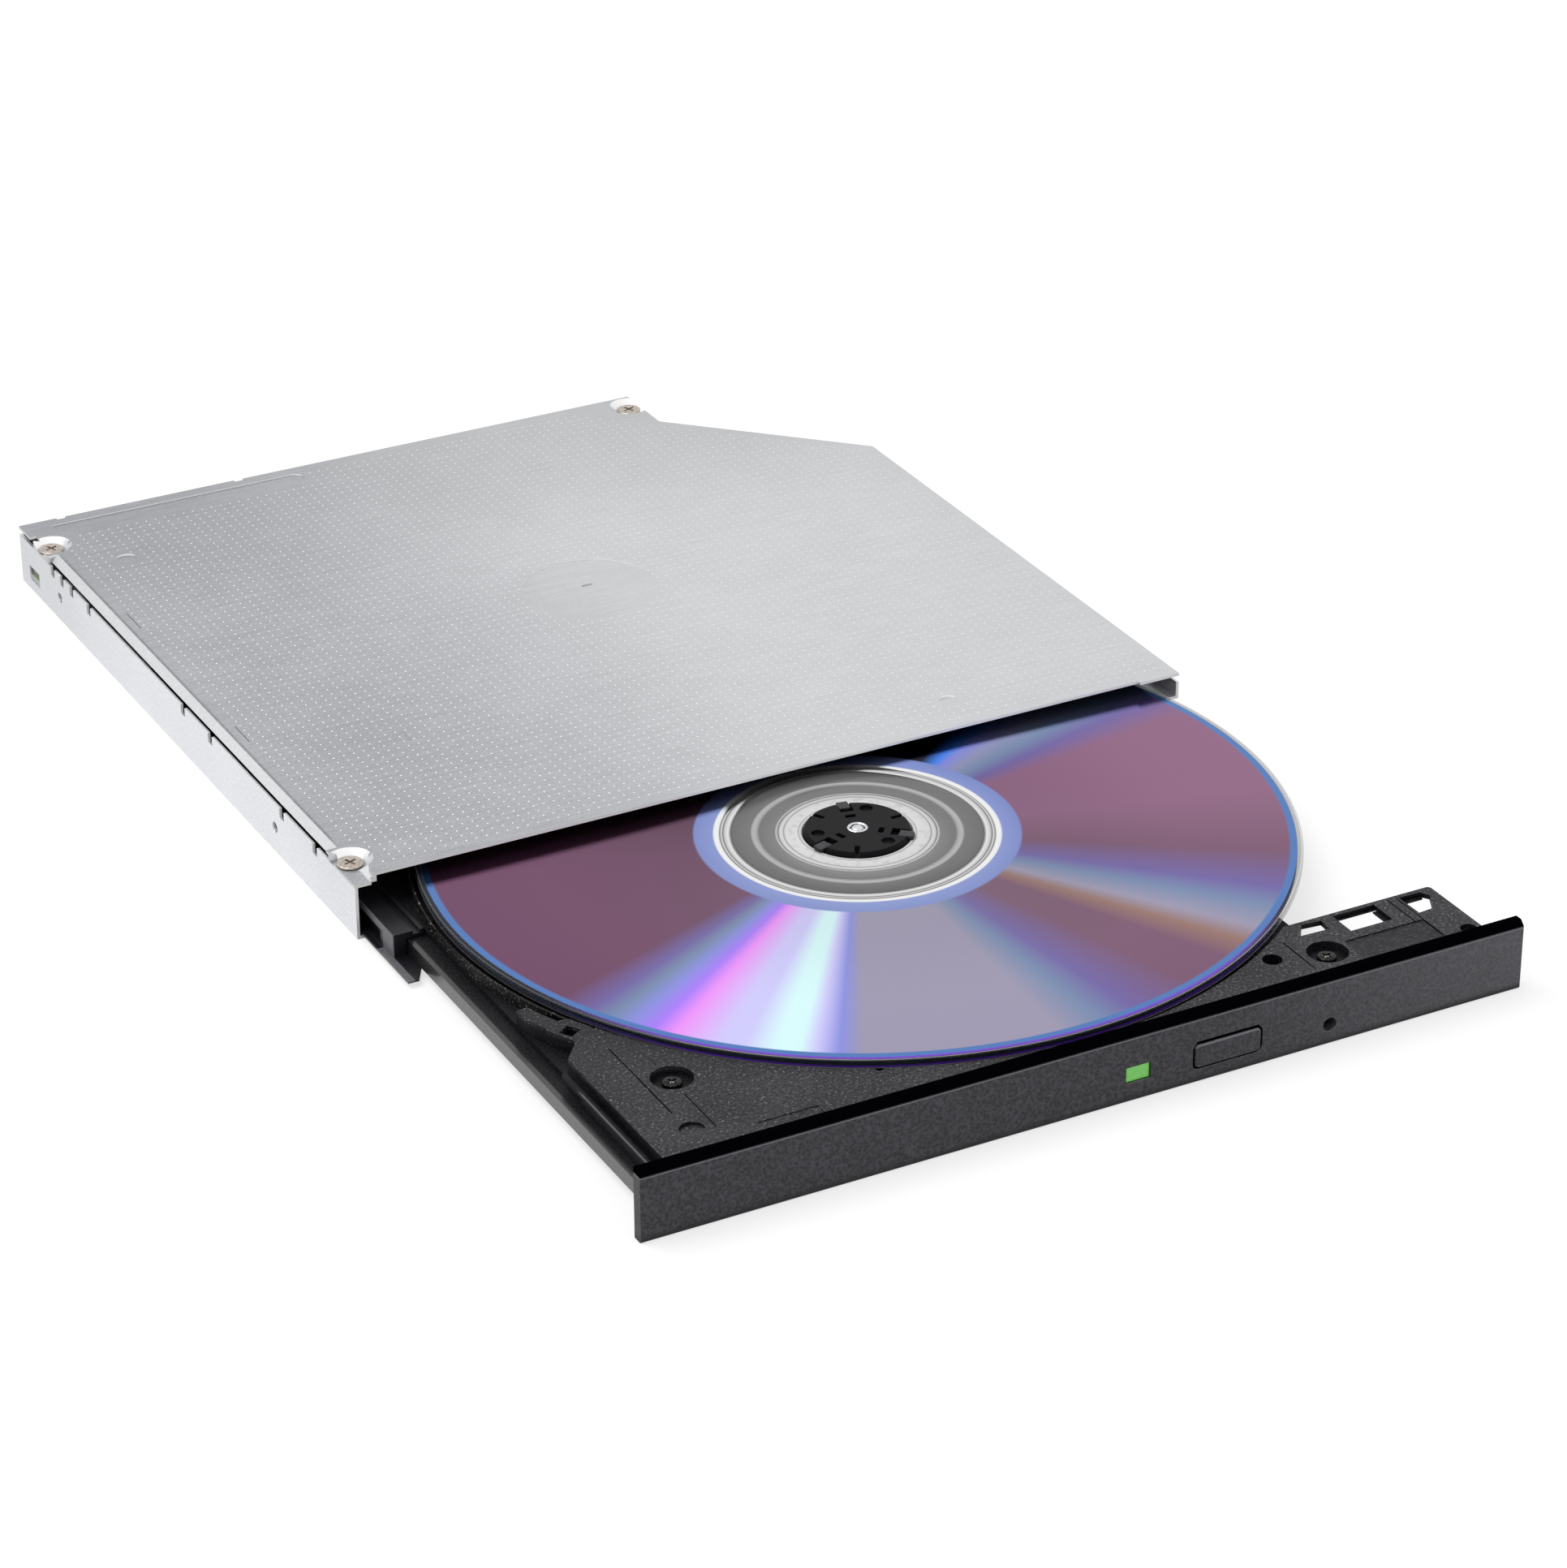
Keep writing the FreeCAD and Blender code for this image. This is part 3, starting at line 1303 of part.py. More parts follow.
def feed_motor():
    """Stepping motor with a bent bracket that carries the screw's far end."""
    s1 = screw_start - 0.1
    can = Part.makeCylinder(motor_radius, motor_length, Vector(s1 - motor_length, -screw_offset, rod_z),
                            Vector(1, 0, 0))
    z0 = chassis_top
    z1 = rod_z + motor_radius
    plate = block(s1 - 0.5, s1, -screw_offset - 2.0, -screw_offset + 2.0, z0, z1)
    far = block(screw_end + 0.05, screw_end + 0.55, -screw_offset - 1.6, -screw_offset + 1.6, z0, z1 - 0.4)
    foot_y = -screw_offset - 2.0
    foot = block(s1 - 0.5, screw_end + 0.55, foot_y - 0.3, foot_y + 0.6, z0, z0 + 0.4)
    return on_traverse(all_of([can, plate, far, foot]))


def slid_out(shape, distance):
    """The piece where the open tray takes it."""
    moved = shape.copy()
    moved.translate(Vector(0, -distance, 0))
    return moved


case_pieces = {
    "bottom_case": bottom_case(),
    "top_cover": top_cover(),
    "cover_screws": cover_screws(),
    "left_guide_rail": guide_rail(rear - guide_end_gap),
    "right_guide_rail": mirrored(guide_rail(right_runner_end)),
    "main_board": main_board(),
    "board_chips": board_chips(),
    "board_screws": board_screws(),
    "rear_plug": rear_plug(),
    "catch_post": catch_post(),
    "flat_cable": flat_cable(),
    "board_socket": board_socket(),
}
runner_pieces = {
    "left_runner": runner(front + runner_setback + runner_length),
    "right_runner": mirrored(runner(right_runner_end)),
}
tray_pieces = {
    "tray": tray(),
    "tray_screws": tray_screws(),
    "under_plate": under_plate(),
    "bezel": bezel(),
    "eject_button": eject_button(),
    "switch_plunger": switch_plunger(),
    "push_switch": push_switch(),
    "front_board": front_board(),
    "lamp": lamp(),
    "light_pipe": light_pipe(),
    "tray_socket": tray_socket(),
    "latch_lever": latch_lever(),
    "latch_spring": latch_spring(),
    "solenoid": solenoid(),
    "traverse_chassis": traverse_chassis(),
    "main_guide_rod": guide_rod(-1),
    "second_guide_rod": guide_rod(1),
    "isolators": isolators(),
    "isolator_screws": isolator_screws(),
    "spindle_base": spindle_base(),
    "stator": stator(),
    "rotor": rotor(),
    "rotor_magnet": rotor_magnet(),
    "spindle_shaft": spindle_shaft(),
    "turntable": turntable(),
    "turntable_mat": turntable_mat(),
    "clamp_hub": clamp_hub(),
    "disc": disc(),
    "pickup_sled": pickup_sled(),
    "rack_clip": rack_clip(),
    "lens_magnets": lens_magnets(),
    "lens_holder": lens_holder(),
    "objective_lens": objective_lens(),
    "lead_screw": lead_screw(),
    "feed_motor": feed_motor(),
}
for number in range(jaw_count):
    tray_pieces["clamp_jaw_%d" % (number + 1)] = clamp_jaw(number)

os.makedirs("parts", exist_ok=True)
for pieces, distance in ((case_pieces, 0), (runner_pieces, tray_out / 2), (tray_pieces, tray_out)):
    for name, piece in pieces.items():
        slid_out(piece, distance).exportStep("parts/%s.step" % name)
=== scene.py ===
import math

import bpy
from mathutils import Matrix, Vector


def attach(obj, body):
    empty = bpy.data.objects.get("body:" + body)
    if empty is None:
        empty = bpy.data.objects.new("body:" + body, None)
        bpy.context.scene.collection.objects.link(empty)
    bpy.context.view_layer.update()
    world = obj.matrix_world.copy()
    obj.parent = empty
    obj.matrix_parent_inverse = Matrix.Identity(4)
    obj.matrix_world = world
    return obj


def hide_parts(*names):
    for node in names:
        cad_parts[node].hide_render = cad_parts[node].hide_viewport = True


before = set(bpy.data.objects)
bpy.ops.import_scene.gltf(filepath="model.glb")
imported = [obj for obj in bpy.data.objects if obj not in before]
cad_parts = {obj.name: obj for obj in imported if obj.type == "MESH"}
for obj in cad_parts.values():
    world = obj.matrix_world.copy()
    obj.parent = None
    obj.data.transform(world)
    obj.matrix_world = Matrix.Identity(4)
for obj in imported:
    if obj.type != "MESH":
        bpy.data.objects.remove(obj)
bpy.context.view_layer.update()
bpy.ops.object.select_all(action="DESELECT")
mm = 0.001

# The camera stands low, in front and to the left, with a long lens. The sizes are
# those of a camera fitted to the photograph.
azimuth, elevation, roll = math.radians(-27.912), math.radians(27.837), math.radians(-0.263)
aim = Vector((2.081, -59.339, 5.0)) * mm
camera_distance = 695.134 * mm
lens_length = 115.4
sensor_width = 36
nearest_seen = 10 * mm
outward = math.cos(elevation)
back = Vector((math.sin(azimuth) * outward, -math.cos(azimuth) * outward, math.sin(elevation)))
level = Vector((0, 0, 1)).cross(back).normalized()
upright = back.cross(level)
bpy.ops.object.camera_add(location=aim + back * camera_distance)
camera = bpy.context.object
camera.name = "Camera"
across = math.cos(roll) * level + math.sin(roll) * upright
upward = math.cos(roll) * upright - math.sin(roll) * level
camera.rotation_euler = Matrix((across, upward, back)).transposed().to_euler()
camera.data.lens = lens_length
camera.data.sensor_width = sensor_width
camera.data.clip_start = nearest_seen
bpy.context.scene.camera = camera
bpy.context.scene.view_settings.view_transform = "Standard"

# The studio is a white paper floor under a white tent, with one large soft lamp above
# and to the left and a weaker one in front. The floor keeps the drive's soft shadow.
white = (1, 1, 1, 1)
tent_power = 0.55
paper_grey = 0.38
paper_glow = 0.67
floor_size = 6
floor_gap = 0.02 * mm


class Lead:
    """A socket of a material, so that a pattern can be written as a sum."""

    def __init__(self, tree, socket):
        self.tree = tree
        self.socket = socket

    def node(self, kind, settings=None, values=None, out=0):
        """Another node fed with values or leads; its settings come first."""
        made = self.tree.nodes.new("ShaderNode" + kind)
        for name, value in (settings or {}).items():
            if name == "stops":
                ramp = made.color_ramp
                ramp.elements[0].position, ramp.elements[0].color = value[0]
                ramp.elements[1].position, ramp.elements[1].color = value[-1]
                for place, colour in value[1:-1]:
                    ramp.elements.new(place).color = colour
            else:
                setattr(made, name, value)
        for name, value in (values or {}).items():
            if isinstance(value, Lead):
                self.tree.links.new(value.socket, made.inputs[name])
            else:
                made.inputs[name].default_value = value
        return Lead(self.tree, made.outputs[out])

    def maths(self, operation, *numbers):
        """A Math node on these leads or values, in this order."""
        return self.node("Math", {"operation": operation}, dict(enumerate(numbers)))

    def __add__(self, other):
        return self.maths("ADD", self, other)

    def __sub__(self, other):
        return self.maths("SUBTRACT", self, other)

    def __rsub__(self, other):
        return self.maths("SUBTRACT", other, self)

    def __mul__(self, other):
        return self.maths("MULTIPLY", self, other)

    def __pow__(self, other):
        return self.maths("POWER", self, other)

    __radd__ = __add__
    __rmul__ = __mul__

    def larger(self, other):
        """The larger of the two."""
        return self.maths("MAXIMUM", self, other)

    def sine(self):
        """The sine of this angle."""
        return self.maths("SINE", self)

    def axis(self, number):
        """One part of a place or a direction: 0 is x, 1 is y and 2 is z."""
        return self.node("SeparateXYZ", None, {0: self}, number)

    def rise(self, low, high):
        """0 below low, 1 above high, smooth between them; low may be the larger."""
        return self.node("MapRange", {"interpolation_type": "SMOOTHSTEP"},
                         {"Value": self, "From Min": low, "From Max": high})

    def span(self, low, high, soft):
        """1 between low and high, with soft edges."""
        return self.rise(low - soft, low + soft) * self.rise(high + soft, high - soft)

    def mix(self, first, second):
        """The first colour where this is 0, the second where it is 1."""
        factor, first_colour, second_colour, mixed_colour = 0, 6, 7, 2
        return self.node("Mix", {"data_type": "RGBA"},
                         {factor: self, first_colour: first, second_colour: second}, mixed_colour)

    def speckle(self, size, detail=2.0, roughness=0.5):
        """Cloudy noise between 0 and 1; size is in millimetres."""
        return self.node("TexNoise", None, {"Vector": self, "Scale": 1 / size, "Detail": detail,
                                            "Roughness": roughness})

    def stretched(self, x, y, z):
        """The same place with each direction scaled."""
        return self.node("Mapping", None, {"Vector": self, "Scale": (x, y, z)})

    def bump(self, height, strength=1.0):
        """A normal from this height, which is in parts of the given millimetres."""
        return self.node("Bump", None, {"Height": self, "Strength": strength, "Distance": height * mm})


class Finish:
    """A material with its shader, and the place on the drive in millimetres."""

    def __init__(self, name, colour, roughness, centre=(0, 0, 0), **fixed):
        self.material = bpy.data.materials.new(name)
        self.material.use_nodes = True
        self.tree = self.material.node_tree
        self.shader = self.tree.nodes["Principled BSDF"]
        self.fix(Base_Color=colour, Roughness=roughness, **fixed)
        coordinates = self.tree.nodes.new("ShaderNodeTexCoord")
        in_metres = Lead(self.tree, coordinates.outputs["Object"])
        self.place = in_metres.node("Mapping", None, {"Vector": in_metres, "Scale": (1000, 1000, 1000),
                                                      "Location": [-value for value in centre]})
        self.x, self.y, self.z = (self.place.axis(number) for number in range(3))
        self.facing = Lead(self.tree, coordinates.outputs["Normal"])

    def fix(self, **values):
        """Plain values on the shader's own sockets."""
        for name, value in values.items():
            self.shader.inputs[name.replace("_", " ")].default_value = value

    def feed(self, **leads):
        """Patterns into the shader's sockets."""
        for name, lead in leads.items():
            self.tree.links.new(lead.socket, self.shader.inputs[name.replace("_", " ")])


def met_by(start, *rays):
    """1 for the named kinds of light ray and 0 for all others."""
    met = start.node("LightPath", out=rays[0])
    for ray in rays[1:]:
        met = met.larger(start.node("LightPath", out=ray))
    return met


def soft_lamp(name, place, size, power, mirrored):
    """A square soft lamp that faces the middle of the drive; polished faces may mirror it or not."""
    bpy.ops.object.light_add(type="AREA", location=Vector(place) * mm)
    lamp = bpy.context.object
    lamp.name = name
    lamp.data.shape = "SQUARE"
    lamp.data.size = size * mm
    lamp.data.energy = power
    lamp.visible_glossy = mirrored
    lamp.rotation_euler = (lamp.location - aim).to_track_quat("Z", "Y").to_euler()


world = bpy.data.worlds.new("Tent")
world.use_nodes = True
bpy.context.scene.world = world
tent = world.node_tree
tent.nodes["Background"].inputs["Color"].default_value = white
tent.nodes["Background"].inputs["Strength"].default_value = tent_power
tent_light = Lead(tent, tent.nodes["Background"].outputs[0])
tent_seen = tent_light.node("Background", None, {"Color": white, "Strength": 1.0})
seen = met_by(tent_light, "Is Camera Ray", "Is Glossy Ray", "Is Transmission Ray")
both = tent_light.node("MixShader", None, {0: seen, 1: tent_light, 2: tent_seen})
tent.links.new(both.socket, tent.nodes["World Output"].inputs["Surface"])

soft_lamp("Lamp.above", (-350, 150, 800), 700, 4.6, True)
soft_lamp("Lamp.front", (350, -900, 450), 500, 1.6, False)

bpy.ops.mesh.primitive_plane_add(size=floor_size, location=(0, 0, -floor_gap))
floor = bpy.context.object
floor.name = "Floor"
paper = Finish("Paper", (paper_grey, paper_grey, paper_grey, 1), 1.0, Specular_IOR_Level=0.0,
               Emission_Color=white)
paper.feed(Emission_Strength=met_by(paper.place, "Is Camera Ray", "Is Glossy Ray") * paper_glow)
floor.data.materials.append(paper.material)
bpy.ops.object.select_all(action="DESELECT")


# The case is folded from galvanised steel sheet: a matt grey with a fine spangle and faint
# rolling streaks; faces that turn to the front or the left get a painted highlight. The catch
# post stands on it.
def tint(red, green, blue):
    """A colour as it looks on a screen, 0 to 255, turned into a shader's colour."""
    def linear(value):
        value = value / 255
        return value / 12.92 if value <= 0.04045 else ((value + 0.055) / 1.055) ** 2.4
    return (linear(red), linear(green), linear(blue), 1.0)


def galvanised(name, dark, light, left_highlight):
    """Zinc coated sheet with streaks across it; faces that turn to the front, and in part those that turn to
    the left, get a painted highlight.
    """
    zinc = Finish(name, light, 0.4)
    cloud = zinc.place.speckle(16.0)
    streak = zinc.place.stretched(0.25, 3.0, 3.0).speckle(1.6, 4.0, 0.6)
    grain = zinc.place.speckle(0.32)
    shade = (cloud * 0.2 + streak * 0.45 + grain * 0.5).rise(0.35, 0.85)
    # Painted light: the sheet is painted lighter towards the right and darker towards the back.
    tone = (zinc.x.rise(-50.0, 20.0) * 0.33).mix(shade.mix(dark, light), tint(255, 255, 255))
    tone = (zinc.y.rise(12.0, 58.0) * 0.24).mix(tone, tint(120, 121, 124))
    # A darker grey line runs along the left edge of the top.
    dark_edge_line = zinc.x.span(-62.35, -62.0, 0.2) * zinc.y.span(-52.0, 49.0, 2.0) * zinc.z.rise(8.8, 8.9)
    tone = (dark_edge_line * grain.rise(0.2, 0.7) * 0.9).mix(tone, tint(105, 106, 110))
    # Painted highlight: faces that turn to the front, and in part those that turn to the left, are painted
    # bright white and made less metallic.
    to_front = zinc.facing.axis(1).rise(-0.2, -0.5)
    to_left = zinc.facing.axis(0).rise(-0.25, -0.5)
    painted_highlight = to_front.larger(to_left * left_highlight)
    zinc.feed(Base_Color=painted_highlight.mix(tone, tint(252, 252, 252)), Metallic=(1 - painted_highlight) * 0.9,
              Roughness=grain * 0.16 + 0.34, Normal=(grain * 0.6 + streak * 0.5).bump(0.03, 0.5))
    return zinc


def dress(finish, *nodes):
    """Gives CAD nodes this finish."""
    for name in nodes:
        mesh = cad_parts[name].data
        mesh.materials.clear()
        mesh.materials.append(finish.material)


def chosen(piece):
    """Makes this the only selected object."""
    bpy.ops.object.select_all(action="DESELECT")
    piece.select_set(True)
    bpy.context.view_layer.objects.active = piece


def copied(node):
    """A clean copy of a CAD node's mesh, for detail that the CAD leaves out."""
    copy = bpy.data.objects.new(node + "_detailed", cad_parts[node].data.copy())
    bpy.context.collection.objects.link(copy)
    chosen(copy)
    bpy.ops.object.mode_set(mode="EDIT")
    bpy.ops.mesh.select_all(action="SELECT")
    bpy.ops.mesh.remove_doubles(threshold=0.002 * mm)
    bpy.ops.mesh.dissolve_limited(angle_limit=math.radians(1.0))
    bpy.ops.object.mode_set(mode="OBJECT")
    return copy


def rounded(piece, width, segments=2):
    """Breaks the sharp edges and shades the rest flat."""
    chosen(piece)
    edge = piece.modifiers.new("edge", "BEVEL")
    edge.width = width * mm
    edge.segments = segments
    edge.limit_method = "ANGLE"
    edge.angle_limit = math.radians(40)
    bpy.ops.object.modifier_apply(modifier=edge.name)
    bpy.ops.object.shade_smooth_by_angle(angle=math.radians(35))
    flatten = piece.modifiers.new("flatten", "WEIGHTED_NORMAL")
    flatten.keep_sharp = True
    flatten.weight = 100
    bpy.ops.object.modifier_apply(modifier=flatten.name)


def finished(piece, finish, body, node=None):
    """Gives a piece its material, the body it moves with and the node it stands for."""
    piece.data.materials.clear()
    piece.data.materials.append(finish.material)
    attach(piece, body)
    if node:
        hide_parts(node)
    bpy.ops.object.select_all(action="DESELECT")


# The case's sheet is painted lighter than the cover's: painted light, where its walls face the light from the
# left.
case_zinc = galvanised("Zinc.case", tint(212, 214, 218), tint(240, 242, 245), 0.1)
dress(case_zinc, "catch_post")
case = copied("bottom_case")
rounded(case, 0.12)
finished(case, case_zinc, "case", "bottom_case")

# The cover is thinner sheet of the same kind. Lances and short lines are pressed into
# it, and its left edge slopes down to a bead with a notch at each end.
cover_top = 9.0
above_cover = 9.2
lance_mouth = (-62.2, -60.8)
lance_side = (-60.85, -60.7)
lance_ends = ((21.2, 27.2), (-19.6, -13.8))
short_lines = ((-40.9, -40.75, -29.7, -25.8, 8.9), (-40.9, -37.0, -29.8, -29.6, 8.93),
               (1.1, 4.8, -2.2, -2.0, 8.85))
left_bead = (-63.5, -62.0, -53.5, 50.7, 8.28, 8.98)
left_slope = (-65.0, -62.0, -53.62, 50.82, 8.0, 9.6)
left_notches = ((-64.5, -63.0, -56.0, -54.6, 7.8, 9.3), (-64.5, -62.9, 57.0, 58.4, 7.8, 9.3))


def metres(*sizes):
    """These millimetres as Blender's metres."""
    return tuple(size * mm for size in sizes)


def brick(x0, x1, y0, y1, z0, z1, angle=0.0):
    """A box between these places, turned about its own middle by some degrees."""
    bpy.ops.mesh.primitive_cube_add(size=1, location=metres((x0 + x1) / 2, (y0 + y1) / 2, (z0 + z1) / 2))
    box = bpy.context.object
    box.scale = metres(x1 - x0, y1 - y0, z1 - z0)
    box.rotation_euler.z = math.radians(angle)
    bpy.ops.object.transform_apply(location=True, rotation=True, scale=True)
    return box


def carve(piece, cutter, operation="DIFFERENCE"):
    """Cuts one solid out of another, or joins them, and deletes the cutter."""
    chosen(piece)
    change = piece.modifiers.new("carve", "BOOLEAN")
    change.operation = operation
    change.object = cutter
    change.solver = "EXACT"
    bpy.ops.object.modifier_apply(modifier=change.name)
    bpy.data.objects.remove(cutter)


def sliced(piece, place, direction):
    """Cuts a piece flat at this place, takes off what lies in the direction and closes the cut."""
    chosen(piece)
    bpy.ops.object.mode_set(mode="EDIT")
    bpy.ops.mesh.select_all(action="SELECT")
    bpy.ops.mesh.bisect(plane_co=metres(*place), plane_no=direction, clear_outer=True, use_fill=True)
    bpy.ops.object.mode_set(mode="OBJECT")


cover_zinc = galvanised("Zinc.cover", tint(154, 156, 160), tint(184, 186, 190), 0.4)
cover = copied("top_cover")
for near_end, far_end in lance_ends:
    carve(cover, brick(*lance_mouth, far_end - 0.2, far_end, 8.85, above_cover))
    carve(cover, brick(*lance_side, near_end, far_end, 8.7, above_cover))
for line in short_lines:
    carve(cover, brick(*line, above_cover))
carve(cover, brick(*left_bead), "UNION")
slope = brick(*left_slope)
sliced(slope, (-62.4, 0, cover_top), (0.75, 0, -1.2))
carve(cover, slope)
for notch in left_notches:
    carve(cover, brick(*notch))
rounded(cover, 0.06)
finished(cover, cover_zinc, "case", "top_cover")

# A pale pad with a green and a dark patch lies behind the window in the case's left wall.
# A black sheet under the cover is painted shade, standing in for the shade inside the drive; its rear right
# corner is cut off as well.
pad = Finish("Pad.window", tint(206, 210, 206), 0.5)
green_part = pad.y.span(55.7, 58.0, 0.2) * pad.z.span(2.5, 3.9, 0.2)
dark_part = pad.y.rise(57.6, 58.4) * pad.z.rise(2.2, 2.8)
pale_or_dark = dark_part.mix(tint(196, 200, 198), tint(70, 72, 74))
pad.feed(Base_Color=green_part.mix(pale_or_dark, tint(92, 122, 62)))
window_pad = brick(-63.72, -63.6, 55.2, 59.8, 1.5, 4.2)
window_pad.name = "window_pad"
rounded(window_pad, 0.03, 1)
finished(window_pad, pad, "case")
shade_film = Finish("Film.painted_shade", tint(12, 12, 14), 0.55, Specular_IOR_Level=0.1)
shade_film.feed(Base_Color=shade_film.place.speckle(3.0).mix(tint(8, 8, 10), tint(16, 16, 18)))
cover_shade_sheet = brick(-58.4, 60.5, -62.0, 55.0, 8.4, 8.56)
sliced(cover_shade_sheet, (50.5, 38.0, 0), (24.6, 25.0, 0))
cover_shade_sheet.name = "cover_shade_sheet"
rounded(cover_shade_sheet, 0.03, 1)
finished(cover_shade_sheet, shade_film, "case")

# The cover is pressed all over with small round pips in rows. The spindle's mark, the
# screw dishes, the rear groove and the front edge stay smooth.
pip_pitch = 1.52
pip_radius = 0.17
pip_height = 0.05
pip_crown = 0.4
pip_sunk = 0.005
cover_half = 62.0
pressed_left, pressed_right, pressed_front, pressed_rear = -60.8, 62.6, -60.6, 60.9
groove_right, groove_front = -17.5, 56.8
tab_left, tab_front = 36.0, 51.0
cut_start = Vector((39.0, 51.85))
cut_slope = Vector((25.0, -24.6)).normalized()
cut_margin = 1.2
screw_spots = ((-62.1, -57.2), (-62.1, 54.4), (37.5, 59.6))
dish_radius = 3.9
smooth_rounds = [((2.7, 2.21), 10.2), ((-53.8, 44.6), 2.2), ((31.0, -54.6), 2.0)]
smooth_rounds += [(spot, dish_radius) for spot in screw_spots]


def takes_pips(x, y):
    """Whether the sheet at this place is pressed."""
    if not (pressed_left < x < pressed_right and pressed_front < y < pressed_rear):
        return False
    if x < groove_right and y > groove_front or x > tab_left and y > tab_front:
        return False
    if cut_slope.cross(Vector((x, y)) - cut_start) > -cut_margin:
        return False
    return all(math.hypot(x - cx, y - cy) > radius for (cx, cy), radius in smooth_rounds)


columns = int(2 * cover_half / pip_pitch) + 1
first_pip = -(columns - 1) / 2 * pip_pitch
pip_middle = cover_top + pip_height / 2 - pip_sunk
bpy.ops.mesh.primitive_cone_add(vertices=6, radius1=pip_radius * mm, radius2=pip_radius * pip_crown * mm,
                                depth=pip_height * mm, end_fill_type="TRIFAN",
                                location=metres(first_pip, first_pip, pip_middle))
pips = bpy.context.object
pips.name = "cover_pips"
bpy.ops.object.transform_apply(location=True, rotation=True, scale=True)
for axis in range(2):
    row = pips.modifiers.new("row", "ARRAY")
    row.count = columns
    row.use_relative_offset = False
    row.use_constant_offset = True
    row.constant_offset_displace = [pip_pitch * mm * (step == axis) for step in range(3)]
    bpy.ops.object.modifier_apply(modifier=row.name)


def on_pressed_sheet(face):
    """Whether this face of a pip shows, and the pip stands where the sheet is pressed."""
    x, y = (first_pip + round((value / mm - first_pip) / pip_pitch) * pip_pitch for value in face.center.xy)
    return face.normal.z > -0.9 and takes_pips(x, y)


bpy.ops.object.mode_set(mode="EDIT")
bpy.ops.mesh.select_mode(type="FACE")
bpy.ops.mesh.select_all(action="DESELECT")
bpy.ops.object.mode_set(mode="OBJECT")
for face in pips.data.polygons:
    face.select = not on_pressed_sheet(face)
bpy.ops.object.mode_set(mode="EDIT")
bpy.ops.mesh.delete(type="FACE")
bpy.ops.mesh.select_mode(type="VERT")
bpy.ops.object.mode_set(mode="OBJECT")
pips.data.shade_smooth()
# The pips are painted lighter than the sheet round them: a painted highlight on their tips.
pip_highlight_zinc = Finish("Zinc.pips_highlight", tint(222, 224, 228), 0.32, Metallic=0.9)
pip_highlight_zinc.feed(Base_Color=pip_highlight_zinc.place.speckle(2.0).mix(tint(208, 210, 214), tint(236, 238, 240)))
finished(pips, pip_highlight_zinc, "case")

# Three nickel plated screws hold the cover. Each has a flat head with a rounded rim, a
# cross recess and a plain shank; the board's screws are of the same kind.
nickel = Finish("Nickel", tint(178, 168, 158), 0.28, Metallic=1.0)
turned = nickel.place.speckle(0.5, 3.0)
nickel.feed(Base_Color=turned.rise(0.2, 0.8).mix(tint(160, 149, 139), tint(202, 193, 184)),
            Roughness=turned * 0.15 + 0.2)
dress(nickel, "board_screws")
lid_screw = {"top": 8.46, "head": 1.85, "thick": 0.34, "shank": 0.75, "length": 2.2}


def rod(x, y, z0, z1, radius, sides=32):
    """An upright cylinder."""
    bpy.ops.mesh.primitive_cylinder_add(vertices=sides, radius=radius * mm, depth=(z1 - z0) * mm,
                                        location=metres(x, y, (z0 + z1) / 2))
    made = bpy.context.object
    bpy.ops.object.transform_apply(location=True, rotation=True, scale=True)
    return made


def cross_screw(x, y, top, head, thick, shank, length):
    """A flat screw with a rounded rim, a cross recess and a plain shank."""
    screw = rod(x, y, top - thick, top, head, 40)
    edge = screw.modifiers.new("rim", "BEVEL")
    edge.width = 0.15 * mm
    edge.segments = 3
    edge.angle_limit = math.radians(60)
    bpy.ops.object.modifier_apply(modifier=edge.name)
    slot_reach = head * 0.52
    slot_half = 0.17
    slot_floor = top - 0.3
    for angle in (20, 110):
        carve(screw, brick(x - slot_reach, x + slot_reach, y - slot_half, y + slot_half,
                           slot_floor, top + 1, angle))
    carve(screw, rod(x, y, top - length, top - thick + 0.05, shank), "UNION")
    bpy.ops.object.shade_smooth_by_angle(angle=math.radians(35))
    return screw


def joined(pieces, name):
    """One object from several."""
    bpy.ops.object.select_all(action="DESELECT")
    for piece in pieces:
        piece.select_set(True)
    bpy.context.view_layer.objects.active = pieces[0]
    bpy.ops.object.join()
    pieces[0].name = name
    return pieces[0]


lid_screws = joined([cross_screw(x, y, **lid_screw) for x, y in screw_spots], "lid_screws")
finished(lid_screws, nickel, "case", "cover_screws")


# Guides and runners are moulded in filled nylon and run in each other. The runners' outer
# side gets a painted grey sheen of the light from the left, except in its long groove.
def moulded(name, dark, light, roughness, grain, depth, **fixed):
    """Moulded plastic with an even grain; the grain's size and depth are in millimetres."""
    plastic = Finish(name, light, roughness, **fixed)
    pattern = plastic.place.speckle(grain)
    cloud = plastic.place.speckle(14.0)
    plastic.feed(Base_Color=(pattern * 0.7 + cloud * 0.3).rise(0.3, 0.7).mix(dark, light),
                 Roughness=pattern * 0.2 + (roughness - 0.1), Normal=pattern.bump(depth, 0.6))
    return plastic


black_nylon = moulded("Nylon.black", tint(10, 10, 13), tint(24, 24, 27), 0.45, 0.3, 0.02,
                      Specular_IOR_Level=0.2)
dress(black_nylon, "left_guide_rail", "right_guide_rail", "push_switch", "switch_plunger", "latch_lever",
      "rear_plug", "rack_clip", "lens_holder")
runner_nylon = moulded("Nylon.runner", tint(12, 12, 15), tint(34, 34, 38), 0.35, 0.4, 0.03,
                       Specular_IOR_Level=0.3)
